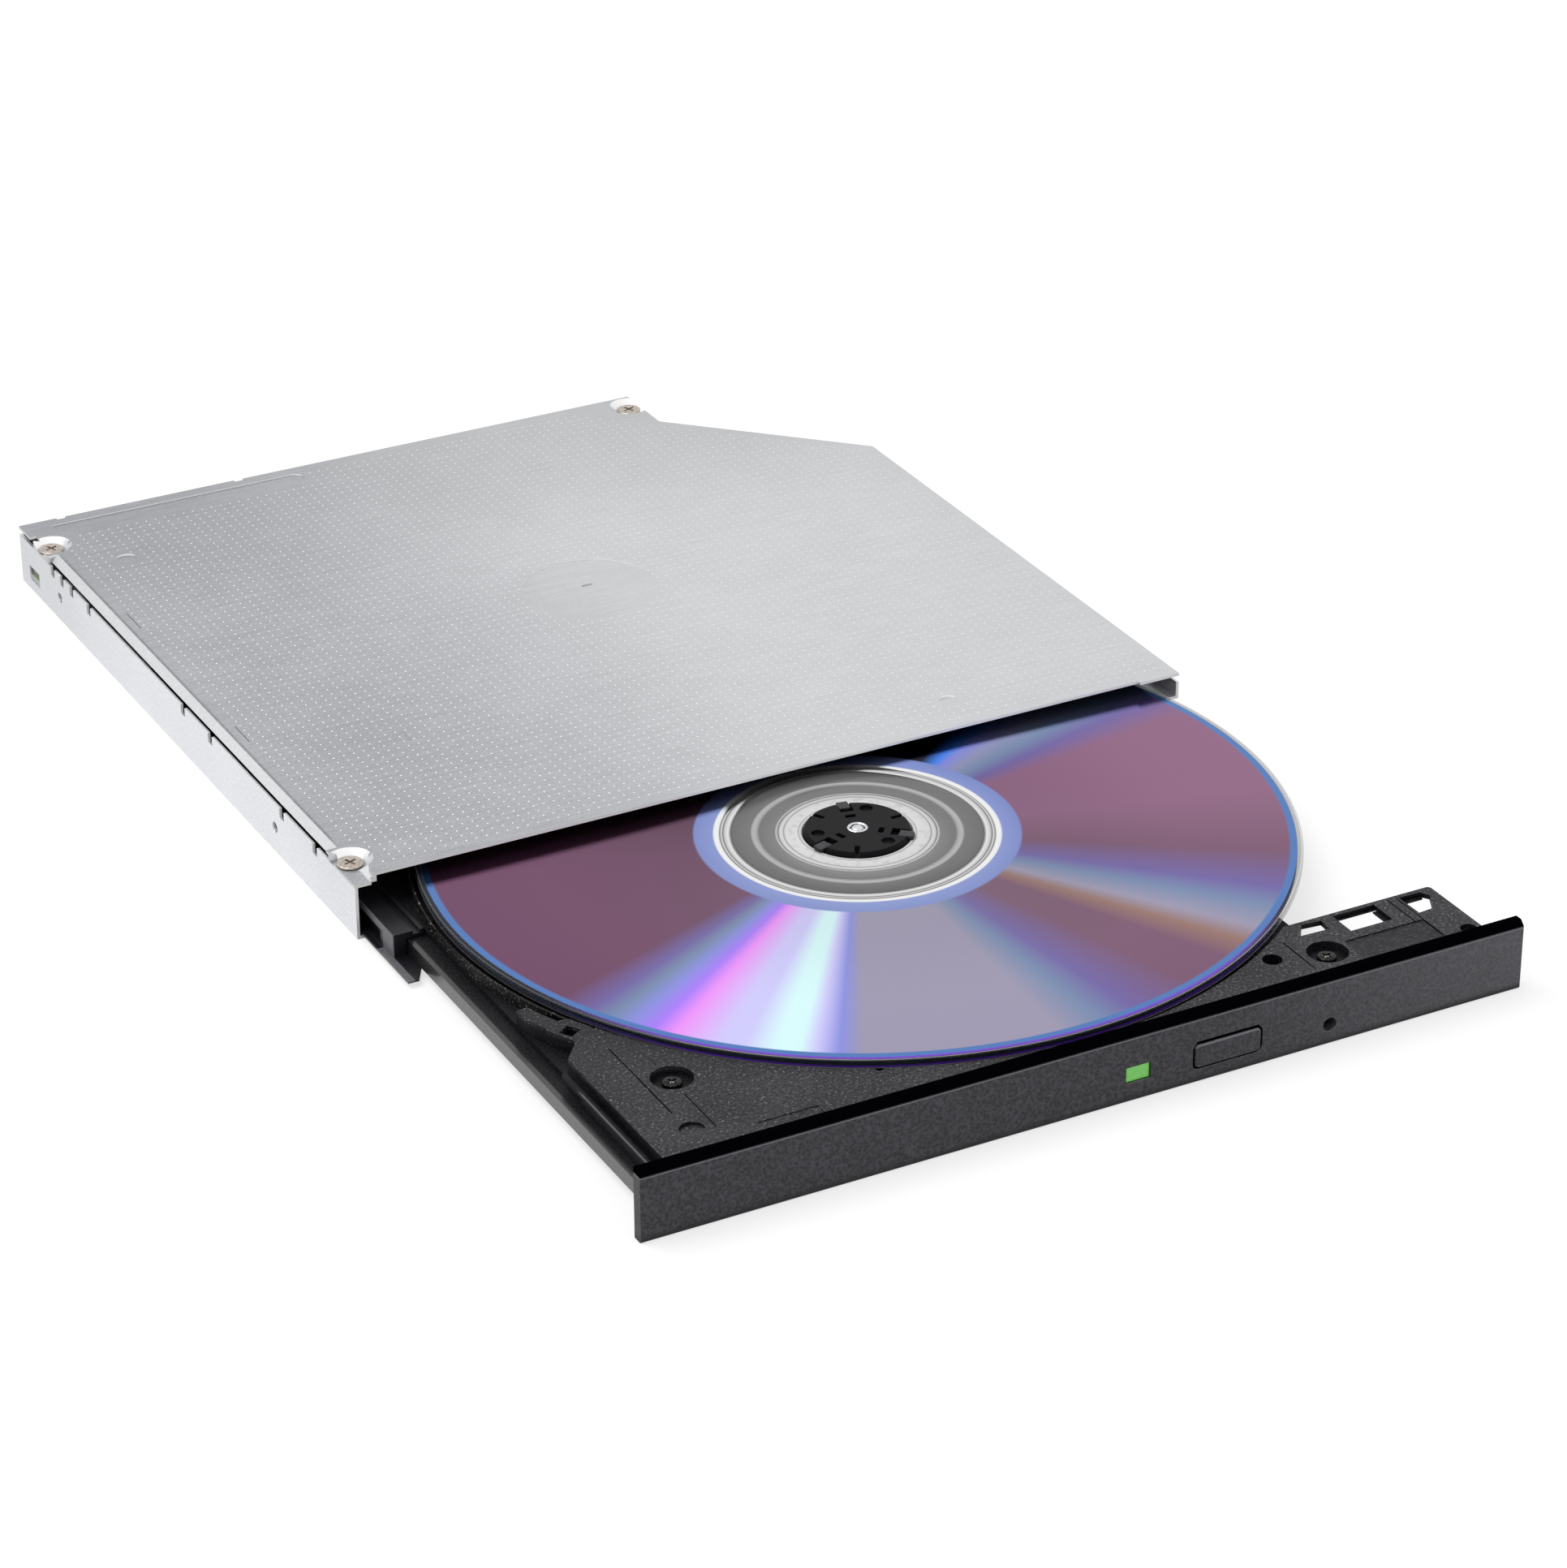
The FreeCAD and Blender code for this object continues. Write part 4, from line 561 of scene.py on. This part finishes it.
# Painted light: the outer side is painted grey as a sheen of the light from the left; the long groove stays
# black.
lit_outer_side = runner_nylon.x.rise(-62.3, -62.45)
side_groove = runner_nylon.y.span(-68.2, -20.0, 0.05) * runner_nylon.z.span(0.5, 3.5, 0.05)
runner_speckle = runner_nylon.place.speckle(0.6, 3.0)
fresh_tone = runner_speckle.mix(tint(12, 12, 15), tint(34, 34, 38))
lit_side_tone = runner_speckle.mix(tint(84, 84, 88), tint(116, 116, 121))
runner_nylon.feed(Base_Color=(lit_outer_side * (1 - side_groove)).mix(fresh_tone, lit_side_tone))
for side in ("left", "right"):
    runner = copied(side + "_runner")
    rounded(runner, 0.15)
    finished(runner, runner_nylon, side + "_runner", side + "_runner")

# Behind the tray stands the main board: green laminate with black moulded chips and a
# cream cable socket. An amber film cable links it to the tray's own board.
laminate = Finish("Laminate", tint(24, 92, 52), 0.35, Coat_Weight=0.4)
copper_runs = laminate.place.stretched(1.0, 0.12, 1.0).speckle(1.1, 3.0)
laminate.feed(Base_Color=copper_runs.rise(0.5, 0.56).mix(tint(20, 78, 45), tint(38, 118, 66)))
chip_resin = moulded("Resin.chips", tint(22, 22, 23), tint(36, 36, 38), 0.55, 0.12, 0.01)
cream = moulded("Nylon.cream", tint(214, 206, 184), tint(232, 225, 206), 0.4, 0.4, 0.01)
amber_film = Finish("Film.amber", tint(190, 132, 62), 0.25, Coat_Weight=0.5)
track_pitch = 1.0
tracks = (amber_film.x * (2 * math.pi / track_pitch)).sine().rise(-0.2, 0.4)
amber_film.feed(Base_Color=tracks.mix(tint(170, 108, 42), tint(206, 150, 80)))
dress(laminate, "main_board", "front_board")
dress(chip_resin, "board_chips")
dress(cream, "board_socket", "tray_socket")
dress(amber_film, "flat_cable")

# The tray is moulded in black filled plastic. Its deck and arm have a coarse grain with painted
# glints; the channels beside the deck and other faces below its top get a painted shade and no glints.
groove_floor = 6.0
above_deck = 6.5
deck_grooves = ((-51.8, -51.6, -131.3, -113.8), (-48.4, -48.25, -120.2, -118.5),
                (-48.4, -48.25, -136.6, -127.9), (56.7, 56.85, -139.2, -128.5),
                (37.1, 37.3, -139.2, -131.5), (55.4, 55.6, -134.9, -128.4))
arm_dimple = {"x": 60.6, "y": -139.7, "z0": 5.7, "z1": above_deck, "radius": 1.15}
lip_channel = (-58.2, -57.38, -145.4, -112.6, 4.3, 6.6)
grained = Finish("Plastic.tray", tint(40, 40, 44), 0.5, Specular_IOR_Level=0.15)
coarse = grained.place.speckle(0.42, 2.0, 0.6)
fine = grained.place.speckle(0.2, 1.0)
wide = grained.place.speckle(11.0, 3.0)
# Painted shade: faces below the deck's top and the walls near the front are painted darker.
front_wall = grained.facing.axis(2).rise(0.75, 0.45) * grained.y.rise(-120.0, -124.0)
sunk_shade = grained.z.rise(6.0, 5.7).larger(front_wall)
smooth = grained.x.span(44.3, 56.6, 0.1) * grained.y.span(-140.0, -134.9, 0.1)
tone = (coarse * 0.75 + wide * 0.25 - smooth * 0.06).rise(0.38, 0.66)
# Painted glints: light specks of the grain's sparkle on the top faces.
painted_glint = fine.rise(0.6, 0.7) * coarse.rise(0.5, 0.6) * (1 - sunk_shade) * (1 - smooth)
beside_disc = grained.x.rise(-30.0, -45.0) * (grained.y.rise(-130.0, -110.0) * 0.36 + 0.12)
deck_tone = beside_disc.mix(tone.mix(tint(26, 26, 29), tint(72, 71, 76)), tint(10, 10, 12))
# Painted highlight: a light line along the outer edge of the lip's top.
crest_highlight = grained.x.span(-58.95, -58.62, 0.05) * grained.z.rise(5.0, 5.12) * grained.y.rise(-119.0, -121.0)
low_shade_tone = crest_highlight.mix(tone.mix(tint(8, 8, 11), tint(25, 25, 29)), tint(92, 92, 98))
grained.feed(Base_Color=painted_glint.mix(sunk_shade.mix(deck_tone, low_shade_tone), tint(140, 140, 146)),
             Roughness=coarse * 0.35 + 0.3, Normal=(coarse + fine * 0.5).bump(0.09, 0.9),
             Coat_Weight=grained.x.rise(-59.6, -59.9))
grained.fix(Coat_Roughness=0.2)
tray = copied("tray")
for groove in deck_grooves:
    carve(tray, brick(*groove, groove_floor, above_deck))
carve(tray, rod(**arm_dimple))
carve(tray, brick(*lip_channel))
rounded(tray, 0.14)
finished(tray, grained, "tray", "tray")

# A black sheet under the tray's pickup window is painted shade: it stands in for the shade
# below the window. Low lips stand in the windows of its front right arm, moulded with it.
tray_shade_sheet = brick(-57.7, -27.9, -143.0, -97.5, 1.12, 1.22)
tray_shade_sheet.name = "tray_shade_sheet"
rounded(tray_shade_sheet, 0.03, 1)
finished(tray_shade_sheet, shade_film, "tray")
lip_bottom, lip_top = 5.5, 5.72
lip_places = ((46.7, 53.3, -128.95, -128.5), (52.6, 53.3, -133.05, -129.3), (57.1, 60.5, -129.4, -128.55))
lips = [brick(*place, lip_bottom, lip_top) for place in lip_places]
for lip in lips:
    rounded(lip, 0.05)
finished(joined(lips, "window_lips"), grained, "tray")

# The rough rim along the left of the recess and the four bumps on the ledge belong to the
# tray's moulding. The rim is spun from its outline and cut off flat at the lip.
disc_centre = (2.7, -79.44)
rim_outline = [(60.45, 5.5), (60.5, 5.8), (60.6, 5.9), (60.75, 5.9), (60.85, 5.8), (60.85, 4.15),
               (60.45, 4.15)]
rim_start, rim_turn = 204.0, 58.0
beyond_lip = (-60.0, -57.84, -90.0, -70.0, 4.0, 6.0)
bump_spots = ((-56.6, -70.7), (-57.2, -78.3), (-57.0, -86.5), (-55.9, -93.6))


def spun(name, outline, steps=160, turn=360.0, start=0.0):
    """A round piece about the disc's axis, from its outline of radii and heights."""
    full = turn == 360.0
    bpy.ops.mesh.primitive_circle_add(vertices=len(outline), fill_type="NOTHING" if full else "NGON")
    piece = bpy.context.object
    piece.name = name
    first = math.radians(start)
    for point, (radius, height) in zip(piece.data.vertices, outline):
        x = disc_centre[0] + radius * math.cos(first)
        y = disc_centre[1] + radius * math.sin(first)
        point.co = metres(x, y, height)
    bpy.ops.object.mode_set(mode="EDIT")
    bpy.ops.mesh.select_all(action="SELECT")
    bpy.ops.mesh.spin(steps=steps, angle=math.radians(turn), center=metres(*disc_centre, 0), axis=(0, 0, 1))
    bpy.ops.mesh.select_all(action="SELECT")
    bpy.ops.mesh.remove_doubles(threshold=0.001 * mm)
    bpy.ops.mesh.normals_make_consistent(inside=False)
    bpy.ops.object.mode_set(mode="OBJECT")
    bpy.ops.object.shade_smooth_by_angle(angle=math.radians(30))
    return piece


rim = spun("recess_rim", rim_outline, 48, rim_turn, rim_start)
carve(rim, brick(*beyond_lip))
bumps = [rod(x, y, 4.1, 4.8, 0.42, 16) for x, y in bump_spots]
for bump in bumps:
    rounded(bump, 0.2, 3)
rough_rim = Finish("Plastic.rim", tint(40, 40, 42), 0.4, Specular_IOR_Level=0.2)
crumbs_and_glints = rough_rim.place.speckle(0.35, 3.0, 0.7)
# The rim's rough grain is painted with sparse light specks, painted glints on black.
rough_rim.feed(Base_Color=crumbs_and_glints.rise(0.58, 0.7).mix(tint(8, 8, 9), tint(150, 152, 146)),
               Normal=crumbs_and_glints.bump(0.12, 0.9))
finished(joined([rim] + bumps, "recess_rim"), rough_rim, "tray")

# Two dark zinc screws sit in sinks in the deck, with a bright nickel disc in the middle of
# each as a painted highlight of its cross recess. The traverse and its screws have the same dark zinc.
dark_zinc = Finish("Zinc.dark", tint(50, 49, 50), 0.25, Metallic=1.0)
dark_wear = dark_zinc.place.speckle(0.4, 3.0)
dark_zinc.feed(Base_Color=dark_wear.rise(0.3, 0.8).mix(tint(22, 22, 23), tint(60, 59, 59)))
dress(dark_zinc, "isolator_screws", "traverse_chassis")
deck_screw = {"top": 5.8, "head": 1.3, "thick": 0.55, "shank": 0.65, "length": 2.0}
deck_screw_spots = ((-47.9, -123.75), (40.9, -136.15))
deck_screws = joined([cross_screw(x, y, **deck_screw) for x, y in deck_screw_spots], "deck_screws")
finished(deck_screws, dark_zinc, "tray", "tray_screws")
# Painted highlight: a bright nickel disc in the middle of each screw stands for the glint of its cross
# recess.
glint_centres = [rod(x, y, 5.4, 5.66, 0.42, 20) for x, y in deck_screw_spots]
for centre in glint_centres:
    rounded(centre, 0.12, 3)
finished(joined(glint_centres, "screw_glint_centres"), nickel, "tray")

# The bezel is moulded in charcoal plastic with a fine leather grain. Its bevelled top
# edge is polished, and the slot over the eject button is cut a little wider.
button_slot = (14.2, 23.6, -147.5, -145.5, 5.5, 5.98)
leather = Finish("Plastic.bezel", tint(58, 56, 62), 0.42, Specular_IOR_Level=0.0, Coat_Roughness=0.3)
cells = leather.place.node("TexVoronoi", {"feature": "SMOOTH_F1"},
                           {"Vector": leather.place, "Scale": 2.4, "Randomness": 1.0})
creases = leather.place.speckle(0.45)
polished = leather.z.rise(9.2, 9.4)
hide = (cells * 0.8 + creases * 0.6) * (1 - polished)
skin = hide.rise(0.3, 1.0).mix(tint(42, 41, 46), tint(80, 78, 84))
# Painted light: the front is painted lighter towards the right.
skin = (leather.x.rise(10.0, 70.0) * 0.24).mix(skin, tint(150, 150, 156))
# The front is darker towards the bottom.
skin = leather.z.rise(1.3, 0.2).mix(skin, tint(34, 33, 37))
# Painted highlights: a light line on the up-facing faces at the very front, and one just below the polished
# bevel.
upper_edge = leather.facing.axis(2).rise(0.2, 0.5) * leather.z.rise(9.0, 8.8)
upper_edge = upper_edge * leather.y.rise(-146.84, -146.96)
edge_shine = upper_edge.larger(leather.z.span(9.02, 9.16, 0.06))
# Painted shade: the gap round the eject button is painted near black.
beside_button = leather.x.span(13.6, 24.2, 0.1) * leather.z.span(1.8, 6.0, 0.1)
button_gap_shade = beside_button * leather.y.rise(-146.9, -146.8)
skin = button_gap_shade.mix(edge_shine.mix(skin, tint(128, 127, 134)), tint(4, 4, 5))
leather.feed(Base_Color=polished.mix(skin, tint(3, 3, 5)), Coat_Weight=(1 - polished) * 0.5,
             Roughness=(1 - polished) * 0.27 + 0.15, Normal=hide.bump(0.16, 0.8))
for node, body in (("bezel", "tray"), ("eject_button", "button")):
    front = copied(node)
    if node == "bezel":
        carve(front, brick(*button_slot))
    rounded(front, 0.16)
    finished(front, leather, body, node)

# A green lamp behind a short light pipe shows through the bezel's window. Both are clear
# resin that glows a little.
clear_green = Finish("Resin.green", tint(110, 196, 84), 0.3, Emission_Color=tint(96, 190, 72),
                     Emission_Strength=0.25, Coat_Weight=0.6)
clear_green.feed(Base_Color=clear_green.place.speckle(0.8).mix(tint(92, 176, 66), tint(132, 214, 100)))
dress(clear_green, "light_pipe", "lamp")

# The spindle motor stands on a stamped steel base. It has copper windings, a magnet ring
# in a stamped rotor, and a turntable with a rubber mat that carries the disc.
stamped = Finish("Steel.stamped", tint(150, 151, 154), 0.35, Metallic=1.0)
brushed = stamped.place.stretched(0.2, 2.0, 1.0).speckle(1.0, 4.0)
stamped.feed(Base_Color=brushed.mix(tint(120, 121, 124), tint(172, 173, 176)), Roughness=brushed * 0.2 + 0.25)
windings = Finish("Copper", tint(176, 98, 52), 0.3, Metallic=1.0)
wires = (windings.z * 40.0).sine().rise(-0.5, 0.6)
windings.feed(Base_Color=wires.mix(tint(120, 60, 30), tint(206, 124, 72)))
magnet = moulded("Magnet", tint(84, 84, 88), tint(116, 116, 120), 0.5, 0.3, 0.01, Metallic=0.6)
rubber = moulded("Rubber", tint(20, 20, 20), tint(38, 38, 38), 0.8, 0.25, 0.02)
dress(stamped, "under_plate", "spindle_base", "rotor", "turntable", "solenoid")
dress(windings, "stator")
dress(magnet, "rotor_magnet", "lens_magnets")
dress(rubber, "turntable_mat", "isolators")

# Rods, feed screw and motor shaft are ground and polished steel. The pickup is a zinc
# casting that slides on the rods and carries the lens, which is coated glass.
ground = Finish("Steel.ground", tint(214, 215, 218), 0.12, Metallic=1.0)
ground.feed(Roughness=ground.place.speckle(0.6, 3.0) * 0.16 + 0.06)
spring_steel = Finish("Steel.spring", tint(170, 170, 172), 0.25, Metallic=1.0)
spring_steel.feed(Base_Color=spring_steel.place.speckle(0.7).mix(tint(150, 150, 152), tint(190, 190, 192)))
cast = moulded("Zinc.cast", tint(140, 141, 144), tint(178, 179, 182), 0.4, 0.4, 0.03, Metallic=0.9)
glass = Finish("Glass.lens", tint(150, 160, 205), 0.05, Alpha=0.6, Coat_Weight=1.0)
glass.feed(Base_Color=glass.place.speckle(2.0).mix(tint(110, 120, 190), tint(170, 150, 210)))
dress(ground, "main_guide_rod", "second_guide_rod", "lead_screw", "spindle_shaft")
dress(spring_steel, "latch_spring", "feed_motor")
dress(cast, "pickup_sled")
dress(glass, "objective_lens")

# The hub snaps into the disc's bore. It is moulded in black, with three sprung jaws and
# a steel collar round the end of the motor shaft.
notch_radius, notch_half_length, notch_half_width = 6.5, 1.25, 0.36
collar_outline = [(1.05, 7.32), (1.42, 7.32), (1.42, 7.58), (1.34, 7.64), (1.16, 7.64), (1.05, 7.56)]
hub_black = moulded("Plastic.hub", tint(8, 8, 10), tint(18, 17, 21), 0.5, 0.6, 0.01,
                    Specular_IOR_Level=0.1)
jaw_grey = moulded("Plastic.jaw", tint(18, 18, 21), tint(42, 41, 46), 0.28, 0.6, 0.01,
                   Specular_IOR_Level=0.3)
hub = copied("clamp_hub")
for notch in (1, 121, 241):
    x = disc_centre[0] + notch_radius * math.cos(math.radians(notch))
    y = disc_centre[1] + notch_radius * math.sin(math.radians(notch))
    carve(hub, brick(x - notch_half_length, x + notch_half_length, y - notch_half_width, y + notch_half_width,
                     7.0, 8.5, notch))
rounded(hub, 0.07)
finished(hub, hub_black, "spinner", "clamp_hub")
for step in ("1", "2", "3"):
    jaw = copied("clamp_jaw_" + step)
    rounded(jaw, 0.08)
    finished(jaw, jaw_grey, "jaw_" + step, "clamp_jaw_" + step)
collar = spun("shaft_collar", collar_outline, 40)
tip = rod(*disc_centre, 7.2, 7.6, 0.8)
rounded(tip, 0.2, 3)
finished(joined([collar, tip], "shaft_collar"), ground, "spinner")

# The disc is clear polycarbonate over a mauve recording layer that mirrors. Fine tracks
# split the light into spokes of colour. Its middle and its rim are bare and clear.
disc_outline = [
    (7.5, 5.78), (7.58, 5.7), (16.4, 5.7), (16.7, 5.62), (17.2, 5.62), (17.5, 5.7), (59.85, 5.7),
    (60.0, 5.85), (60.0, 6.75), (59.85, 6.9), (19.3, 6.9), (19.1, 6.86), (18.7, 6.86), (18.5, 6.9),
    (17.9, 6.9), (17.7, 6.84), (17.3, 6.84), (17.1, 6.9), (14.2, 6.9), (14.0, 6.87), (13.8, 6.9),
    (10.7, 6.9), (10.5, 6.84), (10.3, 6.9), (7.6, 6.9), (7.5, 6.82),
]
written_disc = spun("written_disc", disc_outline)

mauve, plum, dusk, dark_mouth_reflection = tint(110, 66, 98), tint(96, 62, 84), tint(70, 52, 74), tint(8, 10, 32)
rosy, rosy_plum, amber = tint(143, 98, 130), tint(122, 84, 111), tint(152, 115, 106)
slate, grey_violet, lilac = tint(118, 138, 175), tint(157, 151, 176), tint(146, 150, 188)
periwinkle, dusk_violet = tint(137, 142, 225), tint(112, 98, 165)
blue, orchid, pink = tint(66, 136, 246), tint(168, 122, 252), tint(240, 148, 252)
pale_lilac, ice = tint(208, 203, 253), tint(217, 252, 253)
# The spokes of colour are painted reflection, fixed round the disc; the near black spokes from 38 to 44
# degrees are painted shade and the reflection of the dark mouth.
back_spokes = [
    (0, rosy), (9, rosy), (15, dusk_violet), (20, slate), (25, lilac), (30, periwinkle), (33, blue),
    (38, dark_mouth_reflection), (44, dark_mouth_reflection), (60, dusk), (142, plum), (166, mauve), (180, mauve),
]
front_spokes = [
    (180, mauve), (201, mauve), (206, dusk_violet), (209, slate), (212, periwinkle), (215, orchid),
    (218, pink), (224, pale_lilac), (227, pale_lilac), (231, ice), (234, ice), (236, pale_lilac),
    (239, periwinkle), (242, grey_violet), (267, grey_violet), (273, slate), (278, dusk_violet),
    (288, rosy_plum), (296, rosy_plum), (301, amber), (305, grey_violet), (311, slate),
    (316, dusk_violet), (326, rosy_plum), (344, rosy), (360, rosy),
]
recorded = Finish("Disc", tint(146, 94, 116), 0.16, centre=(*disc_centre, 0), Coat_Weight=0.0)
radius = (recorded.x * recorded.x + recorded.y * recorded.y) ** 0.5
angle = radius.maths("ARCTAN2", recorded.y, recorded.x)
turn = radius.maths("FRACT", angle * (0.5 / math.pi) + 1.0)


def half_wheel(spokes, first):
    """Half a turn of colours, from this many degrees on."""
    stops = [((degree - first) / 180, shade) for degree, shade in spokes]
    return turn.node("ValToRGB", {"stops": stops}, {0: turn * 2.0 - first / 180})


spoke = turn.rise(0.4999, 0.5001).mix(half_wheel(back_spokes, 0), half_wheel(front_spokes, 180))
# The painted spokes are a little darker towards the middle.
spoke = (radius.rise(22.0, 50.0) * 0.14 + 0.87).mix(tint(0, 0, 0), spoke)

# The disc's clear middle shows rings: the bore's rim, a near-white ring of painted glint on the
# clear plastic with a fine scribed line, a grey moulded ring, and a stack ring with two dark lines.
rings_end = 25
# The near-white clear ring is painted glint.
clear, glint_white, scribed, grey, warm = 234, 226, 132, 112, 236
grey_rings = [
    (7.5, 190), (7.8, clear), (8.0, 168), (8.15, clear), (9.8, glint_white), (10.0, scribed), (10.15, glint_white),
    (10.6, 212), (10.75, 70), (10.95, 214), (11.2, grey + 12), (13.3, grey), (13.7, 178), (14.2, 190),
    (14.5, grey), (16.9, 100), (17.1, 62), (17.5, 230), (18.05, 188), (18.2, 58), (18.4, warm), (18.6, 70),
    (18.8, warm + 2), (19.4, warm + 2),
]
blue_rings = [(19.6, tint(132, 148, 206)), (22.0, tint(122, 138, 198))]
ring_stops = [(place / rings_end, tint(shade, shade, shade)) for place, shade in grey_rings]
ring_stops += [(place / rings_end, colour) for place, colour in blue_rings]
rings = radius.node("ValToRGB", {"stops": ring_stops}, {0: radius * (1 / rings_end)})
mottle = recorded.place.speckle(1.2, 3.0, 0.6).rise(0.5, 0.7) * radius.span(8.1, 9.9, 0.1) * 0.35
rings = mottle.mix(rings, tint(150, 150, 152))

# Outside the rings come the written layer, a blue border, a painted purple sheen on the front
# half of the rim and the clear rim with a painted highlight on its edge.
written = radius.rise(22.0, 22.4)
rim_blue = radius.rise(58.0, 58.4)
bare_rim = radius.rise(59.1, 59.3)
# Painted highlight: a bright line along the rim's edge, fainter on the left.
rim_edge_highlight = radius.span(59.72, 59.86, 0.04) * (1 - turn.span(0.36, 0.6, 0.03) * 0.65)
# Painted light: a purple sheen of light refracted in the rim, on its front half.
purple_sheen = turn.span(0.58, 0.84, 0.04) * radius.span(59.15, 59.62, 0.06)
mirrored = radius.span(17.2, 59.2, 0.1)
colour = rim_blue.mix(written.mix(rings, spoke), tint(78, 121, 186))
colour = bare_rim.mix(colour, rim_edge_highlight.mix(tint(70, 72, 77), tint(235, 235, 235)))
colour = purple_sheen.mix(colour, tint(112, 40, 208))
see_through = radius.rise(16.9, 17.4) * (0.18 - bare_rim * 0.7) + 0.82
recorded.feed(Base_Color=colour, Metallic=mirrored * 0.92, Roughness=(1 - mirrored) * 0.1 + 0.14,
              Alpha=see_through + rim_edge_highlight * 0.1 + purple_sheen * 0.6)
finished(written_disc, recorded, "spinner", "disc")
